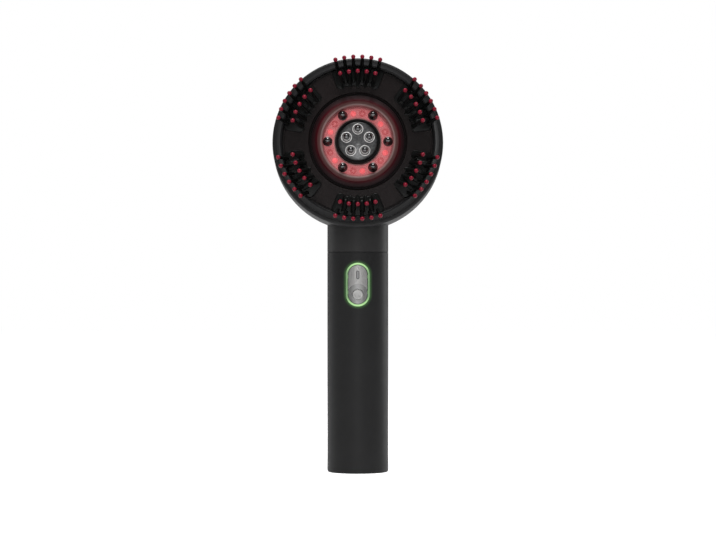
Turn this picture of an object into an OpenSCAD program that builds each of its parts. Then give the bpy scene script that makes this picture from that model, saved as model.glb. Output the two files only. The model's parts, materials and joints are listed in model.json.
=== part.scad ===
// Electric scalp massager: a round head with comb pads, a red light ring and
// five roller-ball applicators on a straight battery handle.
// Millimetres. The origin is the centre of the handle's flat foot, +Z runs up
// the handle, and -Y is the side that faces the scalp.

/* [Handle] */
// Outer diameter of the handle tube and the neck
handle_d = 31.6; // [31:0.2:34]
// Height of the seam between handle tube and neck
handle_len = 114.2; // [113:0.2:130]
// Wall of the handle tube
handle_wall = 1.8; // [1.4:0.1:2]
// Rounding of the handle's bottom edge
foot_round = 1; // [0.4:0.1:1.2]
// Height of the plug that closes the foot
cap_h = 6; // [5:0.5:8]
// Depth of the neck's spigot in the handle tube
spigot_len = 9; // [6:0.5:12]

/* [Switch] */
// Distance from the seam down to the middle of the control oval
control_drop = 16.9; // [16:0.1:25]
// Width of the lit ring round the control oval
ring_w = 12.2; // [12:0.1:13]
// Height of the lit ring
ring_h = 22.4; // [21:0.1:25]
// Wall of the lit ring
ring_wall = 1.15; // [0.9:0.05:1.3]
// Diameter of the round push button
button_d = 5.6; // [5:0.1:6]
// Distance of the button below the middle of the oval
button_drop = 5; // [4:0.1:5.5]
// Travel of the push button
button_travel = 0.5; // [0.3:0.1:0.6]
// Radius of the flat milled round the button
button_land_r = 5.4; // [4:0.1:6]

/* [Battery] */
// Diameter of the cell
cell_d = 18.4; // [14:0.1:18.6]
// Length of the cell
cell_len = 65; // [50:1:66]

/* [Head] */
// Outer diameter of the head
head_d = 88; // [86:0.5:96]
// Height of the head's centre above the seam
head_rise = 56.3; // [56:0.1:60]
// Distance of the head's centre in front of the handle's axis
head_offset = 11.5; // [10.5:0.1:12.5]
// Backward tilt of the head
head_tilt = 6; // [4:0.5:8]
// Depth of the rear shell behind the head's centre
rear_depth = 28.5; // [27:0.5:30]
// Radius of the rear shell's back corner
rear_corner = 14; // [10:0.5:18]
// Wall of the rear shell
shell_wall = 2.8; // [2.2:0.1:3.2]
// Width of the ring-shaped front bezel
bezel_w = 3.1; // [2.8:0.1:3.6]
// Height of the bezel's crest above the panel
bezel_crest = 1.7; // [0.8:0.1:2.2]
// Level of the smoked panel's face
face_z = 4.5; // [4.3:0.1:5.5]
// Thickness of the smoked panel
panel_t = 2; // [1.6:0.1:2.2]

/* [Light ring] */
// Radial width of the light window
window_w = 6.55; // [6.4:0.05:7.5]
// Thickness of the light window
window_t = 1.2; // [0.8:0.1:1.4]
// Radial width of the stepped hood round the window
hood_w = 6.8; // [6.4:0.1:7.4]
// Height of the hood's rim above the panel
hood_rise = 1.1; // [0.6:0.1:2]
// Number of contact pins
pin_count = 6; // [3:1:6]
// Ball radius of a contact pin
pin_ball_r = 1.45; // [1.2:0.05:1.6]
// Height of a pin's ball centre above the light window
pin_rise = 5.3; // [4.6:0.1:6.5]

/* [Applicator] */
// Radius of the nozzle plate
plate_r = 10.2; // [10:0.1:10.8]
// Height of the nozzle plate above the smoked panel
plate_rise = 0.5; // [0.2:0.1:1.2]
// Number of applicator nozzles
nozzle_count = 5; // [3:1:5]
// Radius of the circle that the nozzles stand on
nozzle_pitch_r = 6.15; // [6:0.05:6.2]
// Radius of a roller ball
ball_r = 1.4; // [1.2:0.05:1.5]
// Height of a ball's centre above the nozzle plate
ball_rise = 3; // [2.6:0.1:3.6]
// Turn that frees the nozzle plate's bayonet
bayonet_turn = 60; // [50:1:70]

/* [Comb pads] */
// Half angle of a pad
pad_half = 21; // [20:0.5:23]
// Height of a pad's top above the smoked panel
pad_rise = 0.5; // [0.3:0.1:1]
// Distance from the hood to the inner row of teeth
pad_gap = 4.8; // [4.6:0.1:5.4]
// Teeth in a pad's inner row
inner_teeth = 5; // [4:1:5]
// Angle between the teeth of the inner row
inner_step = 7.6; // [7.2:0.1:8]
// Teeth in a pad's outer row
outer_teeth = 6; // [5:1:6]
// Angle between the teeth of the outer row
outer_step = 6.36; // [6:0.02:6.6]
// Height of a tooth from pad top to ball centre
tooth_h = 11.7; // [10:0.1:14]
// Outward lean of the teeth
tooth_lean = 20.8; // [14:0.1:21]
// Radius of a tooth at its foot
tooth_r = 1.05; // [0.9:0.05:1.1]
// Radius of a tooth's ball tip
tip_r = 1.1; // [0.9:0.05:1.2]

/* [Motor] */
// Diameter of the motor's can
motor_d = 15.5; // [12:0.1:15.8]
// Length of the motor's can
motor_len = 20; // [18:0.5:20]
// Radius of the eccentric weight
weight_r = 6.5; // [5:0.1:6.8]

/* [Hidden] */
$fn = 64;

// Clearances and small shared sizes
fit = 0.1;          // sliding fit between fixed mouldings, on the radius
run = 0.05;         // running clearance of a shaft, ball or button
seat = 0.15;        // clearance round soft or clear mouldings
cut = 1;            // how far a cutting shape runs past the face it cuts
screw_r = 1;        // small self-tapping screw

// Handle
handle_r = handle_d / 2;
tube_r = handle_r - handle_wall;
board_front = -8.6; // front face of the control board
board_t = 1.6;
board_w = 18;
board_top = handle_len - 4.2;
board_foot = 26;
spine_t = 1.6;
spine_y = board_front + board_t;
spine_w = 20;
rib_t = 1.8;
cell_foot = cap_h + 5.2;
cell_y = spine_y + spine_t + cell_d / 2 + 0.2;
cell_room = tube_r - fit;
port_y = 7.4;
port_w = 8.94;
port_t = 3.2;
port_foot = 0.4;
port_len = 7;
charge_board_t = 1;

// Control oval
control_z = handle_len - control_drop;
button_z = control_z - button_drop;
button_r = button_d / 2;
inner_w = ring_w - 2 * ring_wall;
inner_h = ring_h - 2 * ring_wall;
plate_inset = 0.05;   // control plate below the tube's surface
plate_back = -(handle_r - 2.2);
land_depth = 0.9;
land_y = -(handle_r - plate_inset - land_depth);
flange_r = button_r + 0.6;
flange_t = 0.6;
tact_w = 6;
tact_front = plate_back + 1.6;
plunger_r = 1.7;
mark_w = 1.6;
mark_h = 4.4;
mark_depth = 0.35;
mark_rise = 5;

// Head frame and levels along the head's own axis, which points to the scalp
head_r = head_d / 2;
head_z = handle_len + head_rise;
split_z = 1.5;
carrier_top = 1;
carrier_t = 2;
carrier_foot = carrier_top - carrier_t;
panel_foot = face_z - panel_t;

// Radii of the head, from the outside in
rim_round = 1.2;
cavity_r = head_r - shell_wall;
bezel_edge_r = cavity_r + 0.7;
skirt_r = cavity_r - 0.6;
skirt_wall = 1.2;
carrier_r = skirt_r - skirt_wall - 0.2;
bezel_in_r = bezel_edge_r - bezel_w;
ledge_w = 1.4;
panel_r = bezel_in_r - seat;
pad_out_r = bezel_in_r - seat;
rim_gap = 0.3;      // between the outer teeth and the pad's rim
outer_row_r = pad_out_r - tooth_r - rim_gap;

// Radii of the head, from the centre out
well_r = plate_r + seat;
neck_wall = 1.05;
neck_r = well_r + neck_wall;
window_in_r = neck_r + seat;
window_out_r = window_in_r + window_w;
hood_in_r = window_out_r + fit;
hood_out_r = hood_in_r + hood_w;
hood_flange = 1.8;
panel_in_r = hood_out_r + 0.2;
inner_row_r = hood_out_r + pad_gap;
window_foot = 1.8;
window_top = window_foot + window_t;
pin_pitch_r = neck_r + 4.1;
led_pitch_r = neck_r + 3.7;
led_split = 9;
led_board_r = hood_out_r - 2.3;
carrier_in_r = led_board_r + 0.3;
led_board_t = 1.2;
led_top = carrier_foot + led_board_t;
post_r = 3;
screw_head_r = 2;
screw_gap = 1.4;     // from the screw heads to the bezel's ledge
post_pitch_r = bezel_in_r - ledge_w - screw_gap - screw_head_r;
post_angles = [60, 120, 240, 300];
hook_angles = [0 : 60 : 300];
pad_angles = [90, 30, -30, -90, -150, 150];

// Oil tank and bayonet
plate_top = face_z + plate_rise;
plate_t = 1.6;
plate_foot = plate_top - plate_t;
ledge_top = plate_foot - fit;
ledge_t = 1.7;
ledge_r = plate_r - 1.2;
groove_r = plate_r - 0.45;
skirt_out_r = ledge_r - seat;
skirt_in_r = skirt_out_r - 1.5;
skirt_foot = 0;
lug_r = groove_r - seat;
lug_half = 13;
entry_half = 16;
bayonet_lugs = 3;
seal_t = 0.7;
shoulder_z = skirt_foot - fit - seal_t;
throat_r = skirt_in_r - 0.7;
cover_foot = carrier_foot - 1.6;
tank_r = 15;
tank_wall = 1.4;
tank_foot = -20;
ear_r = 3;
ear_pitch_r = carrier_in_r + 2.2;
ear_angles = [0, 90, 180, 270];

// Nozzles
spout_flange_r = 2.8;
spout_foot_r = 2.1;
spout_tip_r = ball_r + 0.3;
feed_r = 0.6;

// Motor
motor_y = -1;
motor_lip = 0.7;
motor_foot = handle_len + motor_lip;
motor_top = motor_foot + motor_len;
motor_boss_h = 1.2;
shaft_r = 1;
weight_foot = motor_top + motor_boss_h + 0.9;
weight_h = 7;
mount_h = 13.5;
neck_bore_r = handle_r - 2;

// Points of a round stretch in an outline
function arc(c, r, a0, a1, n = 8) =
    [for (i = [0 : n]) c + r * [cos(a0 + (a1 - a0) * i / n), sin(a0 + (a1 - a0) * i / n)]];

// Puts its children into the head's own frame: x right, y up, z to the scalp
module in_head() {
    translate([0, -head_offset, head_z]) rotate([90 - head_tilt, 0, 0]) children();
}

// A ring or tube between two levels
module tube(r_out, r_in, z0, z1) {
    difference() {
        translate([0, 0, z0]) cylinder(r = r_out, h = z1 - z0);
        translate([0, 0, z0 - cut]) cylinder(r = r_in, h = z1 - z0 + 2 * cut);
    }
}

// A box given by its two corners
module box(low, high) {
    translate(low) cube(high - low);
}

// Copies at an angle and radius round the axis
module ring_place(angles, r) {
    for (a = angles) rotate([0, 0, a]) translate([r, 0, 0]) children();
}

// A pie slice round the axis, from -half to +half
module wedge(half, r, z0, z1) {
    translate([0, 0, z0]) linear_extrude(z1 - z0)
        polygon(concat([[0, 0]], arc([0, 0], r / cos(half / 4), -half, half, 4)));
}

// A capsule standing on end in the handle's front wall, from depth y0 to y1
module oval(w, h, y0, y1) {
    r = w / 2;
    straight = h - w;
    translate([0, y1, control_z]) rotate([90, 0, 0]) linear_extrude(y1 - y0)
        polygon(concat(arc([0, straight / 2], r, 0, 180, 20), arc([0, -straight / 2], r, 180, 360, 20)));
}

// A round bar along Y, from depth y0 to y1, on the button's axis
module button_bar(r, y0, y1) {
    translate([0, y1, button_z]) rotate([90, 0, 0]) cylinder(r = r, h = y1 - y0);
}

// ---- Handle ----

// Straight tube with a rounded foot and the oval window of the switch
module handle_tube() {
    color([0.13, 0.13, 0.135]) difference() {
        rotate_extrude() polygon(concat(
            [[0, 0]],
            arc([handle_r - foot_round, foot_round], foot_round, -90, 0, 6),
            [[handle_r, handle_len], [0, handle_len]]));
        translate([0, 0, -cut]) cylinder(r = tube_r, h = handle_len + 2 * cut);
        oval(ring_w + 2 * fit, ring_h + 2 * fit, -handle_r - cut, -handle_r / 2);
    }
}

// Plug in the foot: disc, rim, seat of the chassis and mouth of the charge port
module base_cap() {
    rim = 2;
    color([0.1, 0.1, 0.105]) difference() {
        union() {
            cylinder(r = tube_r - fit, h = rim);
            tube(tube_r - fit, tube_r - fit - rim, 0, cap_h);
            box([-8, spine_y - 0.6, 0], [8, spine_y + spine_t + 0.6, cap_h]);
        }
        port_shape(seat, -cut, cap_h + cut);
    }
}

// Outline of the charge socket: a flat tube with round ends
module port_shape(grow, z0, z1) {
    r = port_t / 2 + grow;
    off = (port_w - port_t) / 2;
    translate([0, port_y, z0]) linear_extrude(z1 - z0)
        polygon(concat(arc([off, 0], r, -90, 90, 12), arc([-off, 0], r, 90, 270, 12)));
}

// Socket: metal shell, closed at the back, with the contact tongue in its mouth
module charge_port() {
    shell = 0.3;
    tongue_t = 0.7;
    color([0.7, 0.7, 0.72]) {
        difference() {
            port_shape(0, port_foot, port_foot + port_len);
            port_shape(-shell, port_foot - cut, port_foot + port_len - 1);
        }
        box([-3.3, port_y - tongue_t / 2, port_foot + 0.8],
            [3.3, port_y + tongue_t / 2, port_foot + port_len - 0.9]);
    }
}

// Small board that the socket is soldered to
module charge_board() {
    y0 = port_y + port_t / 2;
    color([0.05, 0.25, 0.12])
        box([-6, y0, 2.4], [6, y0 + charge_board_t, cell_foot - rib_t - 0.4]);
}

// Carrier in the handle: spine, two end ribs and two bands round the cell
module chassis() {
    spine_foot = cap_h;
    spine_top = board_top;
    band_h = 6;
    boss_h = 2.2;
    band_r = cell_d / 2 + seat;
    color([0.25, 0.25, 0.26]) difference() {
        union() {
            box([-spine_w / 2, spine_y, spine_foot], [spine_w / 2, spine_y + spine_t, spine_top]);
            for (z = [cell_foot - rib_t - fit, cell_foot + cell_len + fit]) intersection() {
                translate([0, 0, z]) cylinder(r = cell_room, h = rib_t);
                box([-cell_room, spine_y, z], [cell_room, cell_room, z + rib_t]);
            }
            for (z = [0.2, 0.8] * cell_len) intersection() {
                translate([0, cell_y, 0]) tube(band_r + 1.3, band_r, cell_foot + z - band_h / 2,
                    cell_foot + z + band_h / 2);
                cylinder(r = cell_room, h = handle_len);
            }
            board_screw_places() translate([0, spine_t / 2, 0]) rotate([-90, 0, 0])
                cylinder(r = 2, h = spine_t / 2 + boss_h);
        }
        board_screw_places() translate([0, spine_t + boss_h - 0.8, 0]) rotate([90, 0, 0])
            cylinder(r = screw_r, h = spine_t + boss_h);
        translate([0, cell_y, cell_foot - fit / 2]) cylinder(r = band_r, h = cell_len + fit);
    }
}

// Round lithium cell with its button end up
module battery() {
    button_h = 0.8;
    groove_z = cell_foot + cell_len - 4;
    color([0.15, 0.3, 0.55]) translate([0, cell_y, 0]) difference() {
        union() {
            translate([0, 0, cell_foot]) cylinder(r = cell_d / 2, h = cell_len - button_h);
            translate([0, 0, cell_foot]) cylinder(r = cell_d / 5, h = cell_len);
        }
        tube(cell_d / 2 + cut, cell_d / 2 - 0.4, groove_z, groove_z + 1);
    }
}

// Where the four screws of the control board sit, on the front of the spine
module board_screw_places() {
    for (x = [-7.2, 7.2], z = [board_foot + 5, board_top - 3]) translate([x, spine_y, z]) children();
}

// Long circuit board behind the switch
module control_board() {
    // left side, foot above the board's foot, width, height and thickness of a chip
    chips = [[-3, 22, 6, 6, 1.2], [-5, 40, 4, 5, 1.2], [2, 8, 5, 6, 2]];
    color([0.04, 0.28, 0.14]) difference() {
        union() {
            box([-board_w / 2, board_front, board_foot], [board_w / 2, spine_y, board_top]);
            for (c = chips)
                box([c[0], board_front - c[4], board_foot + c[1]],
                    [c[0] + c[2], board_front, board_foot + c[1] + c[3]]);
        }
        board_screw_places() translate([0, cut, 0]) rotate([90, 0, 0])
            cylinder(r = screw_r + fit, h = board_t + 2 * cut);
    }
}

// Pan-head screws that hold the board to the spine
module board_screws() {
    color([0.75, 0.75, 0.77]) board_screw_places() {
        translate([0, spine_t + 0.6, 0]) rotate([90, 0, 0])
            cylinder(r = screw_r - 0.02, h = board_t + spine_t + 0.6);
        translate([0, -board_t, 0]) rotate([90, 0, 0]) cylinder(r1 = 1.9, r2 = 1.5, h = 1.1);
    }
}

// ---- Switch ----

// Tact switch on the board, with the well that its plunger moves in
module tact_switch() {
    color([0.12, 0.12, 0.13]) difference() {
        box([-tact_w / 2, tact_front, button_z - tact_w / 2],
            [tact_w / 2, board_front, button_z + tact_w / 2]);
        button_bar(plunger_r + run, tact_front - cut, tact_front + button_travel + 0.8);
    }
}

// Four green light chips that feed the lit ring
module status_leds() {
    chip = [1.1, 0.7, 1.6];
    r = (ring_w - ring_wall) / 2;
    color([0.6, 0.95, 0.5]) for (x = [-r, r], z = [-4, 4])
        box([x - chip[0] / 2, board_front - chip[1], control_z + z - chip[2] / 2],
            [x + chip[0] / 2, board_front, control_z + z + chip[2] / 2]);
}

// Block behind the control plate: guides the button and covers the tact switch
module switch_frame() {
    color([0.1, 0.1, 0.105]) difference() {
        oval(inner_w - 2 * fit, inner_h - 2 * fit, plate_back, board_front);
        button_bar(flange_r + fit, plate_back - cut, tact_front - fit);
        box([-tact_w / 2 - fit, tact_front - fit, button_z - tact_w / 2 - fit],
            [tact_w / 2 + fit, board_front + cut, button_z + tact_w / 2 + fit]);
    }
}

// Clear green light guide: a capsule ring with a flange behind the tube's wall
module light_ring() {
    flange = 1;
    flange_y = -sqrt(pow(tube_r, 2) - pow(ring_w / 2 + flange, 2)) + fit;
    color([0.25, 0.9, 0.2]) difference() {
        union() {
            intersection() {
                oval(ring_w, ring_h, -handle_r - cut, board_front - 0.9);
                cylinder(r = handle_r, h = handle_len);
            }
            oval(ring_w + 2 * flange, ring_h + 2 * flange, flange_y, flange_y + 1);
        }
        oval(inner_w, inner_h, -handle_r - 2 * cut, board_front + cut);
    }
}

// Metal control plate: curved like the handle, with a flat land round the button
module control_plate() {
    color([0.72, 0.72, 0.72]) difference() {
        intersection() {
            oval(inner_w - 2 * fit, inner_h - 2 * fit, -handle_r - cut, plate_back);
            cylinder(r = handle_r - plate_inset, h = handle_len);
        }
        button_bar(button_land_r, -handle_r - 2 * cut, land_y);
        button_bar(button_r + run, -handle_r, plate_back + cut);
        mark_slot(-handle_r - 2 * cut, -handle_r + plate_inset + mark_depth);
    }
}

// Upright slot-shaped mark above the button
module mark_slot(y0, y1) {
    straight = mark_h - mark_w;
    translate([0, y1, control_z + mark_rise]) rotate([90, 0, 0]) linear_extrude(y1 - y0)
        polygon(concat(
                arc([0, straight / 2], mark_w / 2, 0, 180),
                arc([0, -straight / 2], mark_w / 2, 180, 360)));
}

// Round push button with a dished face and a flange that keeps it in the plate
module power_button() {
    proud = 0.3;
    dish_r = 12;
    dish_depth = 0.2;
    color([0.78, 0.78, 0.78]) difference() {
        union() {
            button_bar(button_r, land_y - proud, plate_back + flange_t / 2);
            button_bar(flange_r, plate_back + fit, plate_back + fit + flange_t);
        }
        translate([0, land_y - proud + dish_depth - dish_r, button_z]) sphere(r = dish_r);
    }
}

// Plunger between the button and the inside of the tact switch
module switch_plunger() {
    color([0.85, 0.8, 0.6]) button_bar(plunger_r, plate_back + fit + flange_t, tact_front + 0.6);
}

// ---- Rear shell and motor ----

// Outline of the bowl, half section: flat back, round corner, straight side
module bowl_outline(r, depth, corner, top_round, top) {
    polygon(concat(
        [[0, -depth]],
        arc([r - corner, corner - depth], corner, -90, 0, 10),
        arc([r - top_round, top - top_round], top_round, 0, 90, 4),
        [[0, top]]));
}

// Cylinder of the neck with its flare at the bowl, shaved to the bowl's back.
// The flare fades out beside the neck, where the bowl's rounded back begins.
module neck_body() {
    root_h = 10;
    reach = 26;
    back_round = 80;
    flare = 2.5;
    flare_end = 112;
    flare_h = 2.4;
    flare_z = head_z - sqrt(pow(head_r, 2) - pow(handle_r, 2)) - 1.7;
    fade_y = -3.1;
    fade_r = handle_r + 1.3;
    far = 60;
    translate([0, 0, handle_len]) cylinder(r = handle_r, h = root_h);
    intersection() {
        union() {
            translate([0, 0, handle_len + root_h - cut]) cylinder(r = handle_r, h = reach + cut);
            intersection() {
                rotate_extrude() polygon(concat(
                    [[handle_r - flare, flare_z]],
                    arc([handle_r + flare, flare_z], flare, 180, flare_end, 5),
                    [[handle_r - flare, flare_z + flare_h]]));
                translate([0, fade_y, flare_z - cut]) cylinder(r = fade_r, h = 2 * flare_h);
            }
        }
        translate([-handle_r * 2, handle_r - back_round, handle_len + root_h]) rotate([0, 90, 0])
            cylinder(r = back_round, h = handle_r * 4, $fn = 180);
        in_head() translate([0, 0, -far]) cylinder(r = head_r + far / 2, h = far + split_z - 1);
    }
}

// Rear shell in one moulding: bowl, neck, spigot and the four screw posts
module rear_shell() {
    cavity_foot = shell_wall - rear_depth;
    spigot_r = tube_r - fit;
    spigot_wall = 1.6;
    spigot_foot = handle_len - spigot_len;
    spine_gap = 0.6;
    motor_gap = 1.2;
    motor_bore_h = 25;
    neck_bore_h = 15;
    post_bore = 8;
    color([0.15, 0.15, 0.155]) difference() {
        union() {
            difference() {
                union() {
                    in_head() rotate_extrude()
                        bowl_outline(head_r, rear_depth, rear_corner, rim_round, split_z);
                    neck_body();
                }
                in_head() rotate_extrude()
                    bowl_outline(cavity_r, -cavity_foot, rear_corner - shell_wall, 0.01, split_z + cut);
            }
            translate([0, 0, spigot_foot]) cylinder(r = spigot_r, h = spigot_len + cut);
            in_head() ring_place(post_angles, post_pitch_r) translate([0, 0, cavity_foot - cut])
                cylinder(r = post_r, h = carrier_foot - cavity_foot + cut);
        }
        translate([0, 0, spigot_foot - cut])
            cylinder(r = spigot_r - spigot_wall, h = spigot_len + 2 * cut);
        translate([0, 0, handle_len]) cylinder(r = neck_bore_r, h = neck_bore_h);
        translate([0, motor_y, handle_len]) cylinder(r = motor_d / 2 + motor_gap, h = motor_bore_h);
        box([-spine_w / 2 - spine_gap, -handle_r, spigot_foot - cut],
            [spine_w / 2 + spine_gap, spine_y + spine_t + spine_gap, handle_len - 3]);
        in_head() ring_place(post_angles, post_pitch_r) translate([0, 0, carrier_foot - post_bore])
            cylinder(r = screw_r, h = post_bore + 1);
    }
}

// Rubber holder of the motor, seated on the step at the neck's foot
module motor_mount() {
    relief_r = 2.2;
    color([0.08, 0.08, 0.08]) difference() {
        translate([0, 0, handle_len]) cylinder(r = neck_bore_r - 0.2, h = mount_h);
        translate([0, motor_y, handle_len - cut]) cylinder(r = motor_d / 2 - 1, h = mount_h + 2 * cut);
        translate([0, motor_y, motor_foot]) cylinder(r = motor_d / 2 + fit, h = mount_h);
        ring_place([0, 50, 130, 180], (neck_bore_r + motor_d / 2) / 2 + 0.2)
            translate([0, 0, handle_len - cut]) cylinder(r = relief_r - 0.4, h = mount_h + 2 * cut);
    }
}

// Motor can with its end cap, bearing boss and two terminals
module vibration_motor() {
    end_cap_h = 1.6;
    color([0.7, 0.7, 0.72]) translate([0, motor_y, 0]) difference() {
        union() {
            translate([0, 0, motor_foot + end_cap_h])
                cylinder(r = motor_d / 2, h = motor_len - end_cap_h);
            translate([0, 0, motor_foot]) cylinder(r = motor_d / 2 - 0.5, h = end_cap_h + cut);
            translate([0, 0, motor_top - cut]) cylinder(r = 3, h = motor_boss_h + cut);
            for (x = [-4, 4]) box([x - 1, 2, motor_foot - 3], [x + 1, 2.4, motor_foot + cut]);
        }
        translate([0, 0, motor_top - 8]) cylinder(r = shaft_r + run, h = 12);
    }
}

// Shaft that carries the weight
module motor_shaft() {
    color([0.8, 0.8, 0.82]) translate([0, motor_y, motor_top - 8 + fit])
        cylinder(r = shaft_r, h = weight_foot + weight_h + 0.8 - (motor_top - 8 + fit));
}

// Half-round weight with a full hub, which makes the vibration
module eccentric_weight() {
    hub_r = 2.6;
    color([0.45, 0.42, 0.38]) translate([0, motor_y, 0]) difference() {
        union() {
            intersection() {
                translate([0, 0, weight_foot]) cylinder(r = weight_r, h = weight_h);
                box([-weight_r, -weight_r, weight_foot], [weight_r, 0, weight_foot + weight_h]);
            }
            translate([0, 0, weight_foot]) cylinder(r = hub_r, h = weight_h);
        }
        translate([0, 0, weight_foot - cut]) cylinder(r = shaft_r, h = weight_h + 2 * cut);
    }
}

// ---- Carrier, tank and light ----

// Outline of a comb pad, centred on angle 0 and grown by a clearance. The inner
// edge has a lobe round each inner tooth and a pointed tab in the middle.
module pad_outline(grow = 0) {
    corner = 2;
    lobe = 0.8;
    tab = 0.9;
    tab_half = 2.4;
    steps = 6;
    side = pad_half + grow / outer_row_r * 180 / PI;
    r_out = pad_out_r + grow;
    r_in = inner_row_r - tooth_r - lobe / 2;
    reach = (inner_teeth - 1) / 2 * inner_step;
    turn_out = asin(corner / (r_out - corner));
    turn_in = asin(corner / (r_in + corner));
    far = [for (s = [-1, 1]) (r_out - corner) * [cos(s * (side - turn_out)), sin(s * (side - turn_out))]];
    near = [for (s = [-1, 1]) (r_in + corner) * [cos(s * (side - turn_in)), sin(s * (side - turn_in))]];
    polygon(concat(
        arc(near[0], corner, 180 - side + turn_in, 270 - side, 4),
        arc(far[0], corner, -90 - side, 0 - side + turn_out, 4),
        arc([0, 0], r_out, -side + 2 * turn_out, side - 2 * turn_out, 12),
        arc(far[1], corner, side - turn_out, 90 + side, 4),
        arc(near[1], corner, 90 + side, 180 + side - turn_in, 4),
        [for (i = [inner_teeth * steps - steps : -1 : 0])
            let (a = -reach + i * inner_step / steps,
                 r = r_in - grow + lobe * abs(sin(180 * i / steps)) - tab * max(0, 1 - abs(a) / tab_half))
            r * [cos(a), sin(a)]]));
}

// Places of the two pegs that hold a pad to the carrier
module peg_places() {
    for (a = [-10, 10]) rotate([0, 0, a]) translate([(inner_row_r + outer_row_r) / 2, 0, 0]) children();
}

// Plate behind the panel: carries pads, bezel, light ring and tank
module head_carrier() {
    color([0.2, 0.2, 0.21]) in_head() difference() {
        tube(carrier_r, carrier_in_r, carrier_foot, carrier_top);
        ring_place(post_angles, post_pitch_r) translate([0, 0, carrier_foot - cut])
            cylinder(r = screw_r + seat, h = carrier_t + 2 * cut);
        ring_place(ear_angles, ear_pitch_r) translate([0, 0, carrier_foot - cut])
            cylinder(r = screw_r, h = carrier_t + cut - 0.4);
        for (a = pad_angles) rotate([0, 0, a]) peg_places() translate([0, 0, carrier_foot - cut])
            cylinder(r = 1.5, h = carrier_t + 2 * cut);
    }
}

// Screws through the carrier into the rear shell's posts
module head_screws() {
    bite = 6;
    head_h = 1.2;
    color([0.75, 0.75, 0.77]) in_head() ring_place(post_angles, post_pitch_r) {
        translate([0, 0, carrier_foot - bite]) cylinder(r = screw_r, h = carrier_t + bite);
        translate([0, 0, carrier_top]) cylinder(r1 = screw_head_r, r2 = 0.8 * screw_head_r, h = head_h);
    }
}

// Cover of the tank: neck with the bayonet ledge, seat of the seal and flange
module tank_cover() {
    color([0.12, 0.12, 0.125]) in_head() {
        difference() {
            rotate_extrude() polygon([
                [throat_r, shoulder_z], [groove_r, shoulder_z], [groove_r, ledge_top - ledge_t],
                [ledge_r, ledge_top - ledge_t], [ledge_r, ledge_top], [well_r, ledge_top],
                [well_r, plate_top - 0.9], [well_r + 0.3, plate_top - 0.6], [neck_r, plate_top - 0.6],
                [neck_r, window_foot], [neck_r + 0.6, window_foot], [neck_r + 0.6, led_top],
                [neck_r, led_top], [neck_r, carrier_foot], [led_board_r + 1.2, carrier_foot],
                [led_board_r + 1.2, cover_foot], [tank_r - tank_wall - fit, cover_foot],
                [tank_r - tank_wall - fit, cover_foot - 1.4], [throat_r, cover_foot - 1.4]]);
            for (i = [0 : bayonet_lugs - 1]) rotate([0, 0, bayonet_turn + i * 360 / bayonet_lugs])
                intersection() {
                    wedge(entry_half, well_r, ledge_top - ledge_t - 0.2, ledge_top + 0.2);
                    cylinder(r = groove_r + fit, h = ledge_top + cut);
                }
        }
        ring_place(ear_angles, ear_pitch_r) difference() {
            union() {
                translate([0, 0, cover_foot]) cylinder(r = ear_r, h = carrier_foot - cover_foot);
                box([-ear_r, -ear_r, cover_foot], [0, ear_r, carrier_foot]);
            }
            translate([0, 0, cover_foot - cut]) cylinder(r = screw_r + seat, h = 1.6 + 2 * cut);
            translate([-ear_pitch_r, 0, cover_foot - cut])
                cylinder(r = led_board_r + 0.6, h = 1.6 + 2 * cut);
        }
    }
}

// Oil tank: a cup with a round bottom edge, closed by the cover
module oil_tank() {
    round_r = 3;
    inner_round = round_r - tank_wall;
    color([0.75, 0.78, 0.8]) in_head() rotate_extrude() polygon(concat(
        [[0, tank_foot]],
        arc([tank_r - round_r, tank_foot + round_r], round_r, -90, 0, 6),
        [[tank_r, cover_foot], [tank_r - tank_wall, cover_foot]],
        arc([tank_r - tank_wall - inner_round, tank_foot + round_r], inner_round, 0, -90, 6),
        [[0, tank_foot + tank_wall]]));
}

// Screws through the cover's ears into the carrier
module tank_screws() {
    color([0.75, 0.75, 0.77]) in_head() ring_place(ear_angles, ear_pitch_r) {
        translate([0, 0, cover_foot])
            cylinder(r = screw_r, h = carrier_foot - cover_foot + carrier_t - 0.8);
        translate([0, 0, cover_foot - 1.2]) cylinder(r1 = 1.6, r2 = 2, h = 1.2);
    }
}

// Angles of the contact pins and of the light pairs between them
pin_angles = [for (i = [0 : pin_count - 1]) i * 360 / pin_count];
gap_angles = [for (i = [0 : 5]) i * 60 + 30];

// Ring-shaped board that carries the lights and the contact pins
module led_board() {
    color([0.5, 0.08, 0.08]) in_head() difference() {
        tube(led_board_r, neck_r + seat, carrier_foot, led_top);
        ring_place(pin_angles, pin_pitch_r) translate([0, 0, carrier_foot - cut])
            cylinder(r = 1 + run, h = led_board_t + 2 * cut);
    }
}

// Six domed red lights, one in each gap between the pins
module spot_leds() {
    r = 1.5;
    dome_r = 1.7;
    color([1, 0.15, 0.2]) in_head() ring_place([for (a = gap_angles) a + led_split], led_pitch_r) {
        translate([0, 0, led_top]) cylinder(r = r, h = 0.4);
        intersection() {
            translate([0, 0, led_top + 0.4]) cylinder(r = r, h = 1.2);
            translate([0, 0, led_top + 0.4 - sqrt(dome_r * dome_r - r * r)]) sphere(r = dome_r);
        }
    }
}

// Six lights in round cans with a small lens, beside the domed ones
module ring_leds() {
    can_r = 1.75;
    color([0.55, 0.1, 0.12]) in_head() ring_place([for (a = gap_angles) a - led_split], led_pitch_r) {
        difference() {
            translate([0, 0, led_top]) cylinder(r = can_r, h = 1.2);
            translate([0, 0, led_top + 0.7]) cylinder(r = can_r - 0.45, h = cut);
        }
        translate([0, 0, led_top + 0.7]) cylinder(r1 = 0.7, r2 = 0.45, h = 0.4);
    }
}

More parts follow.
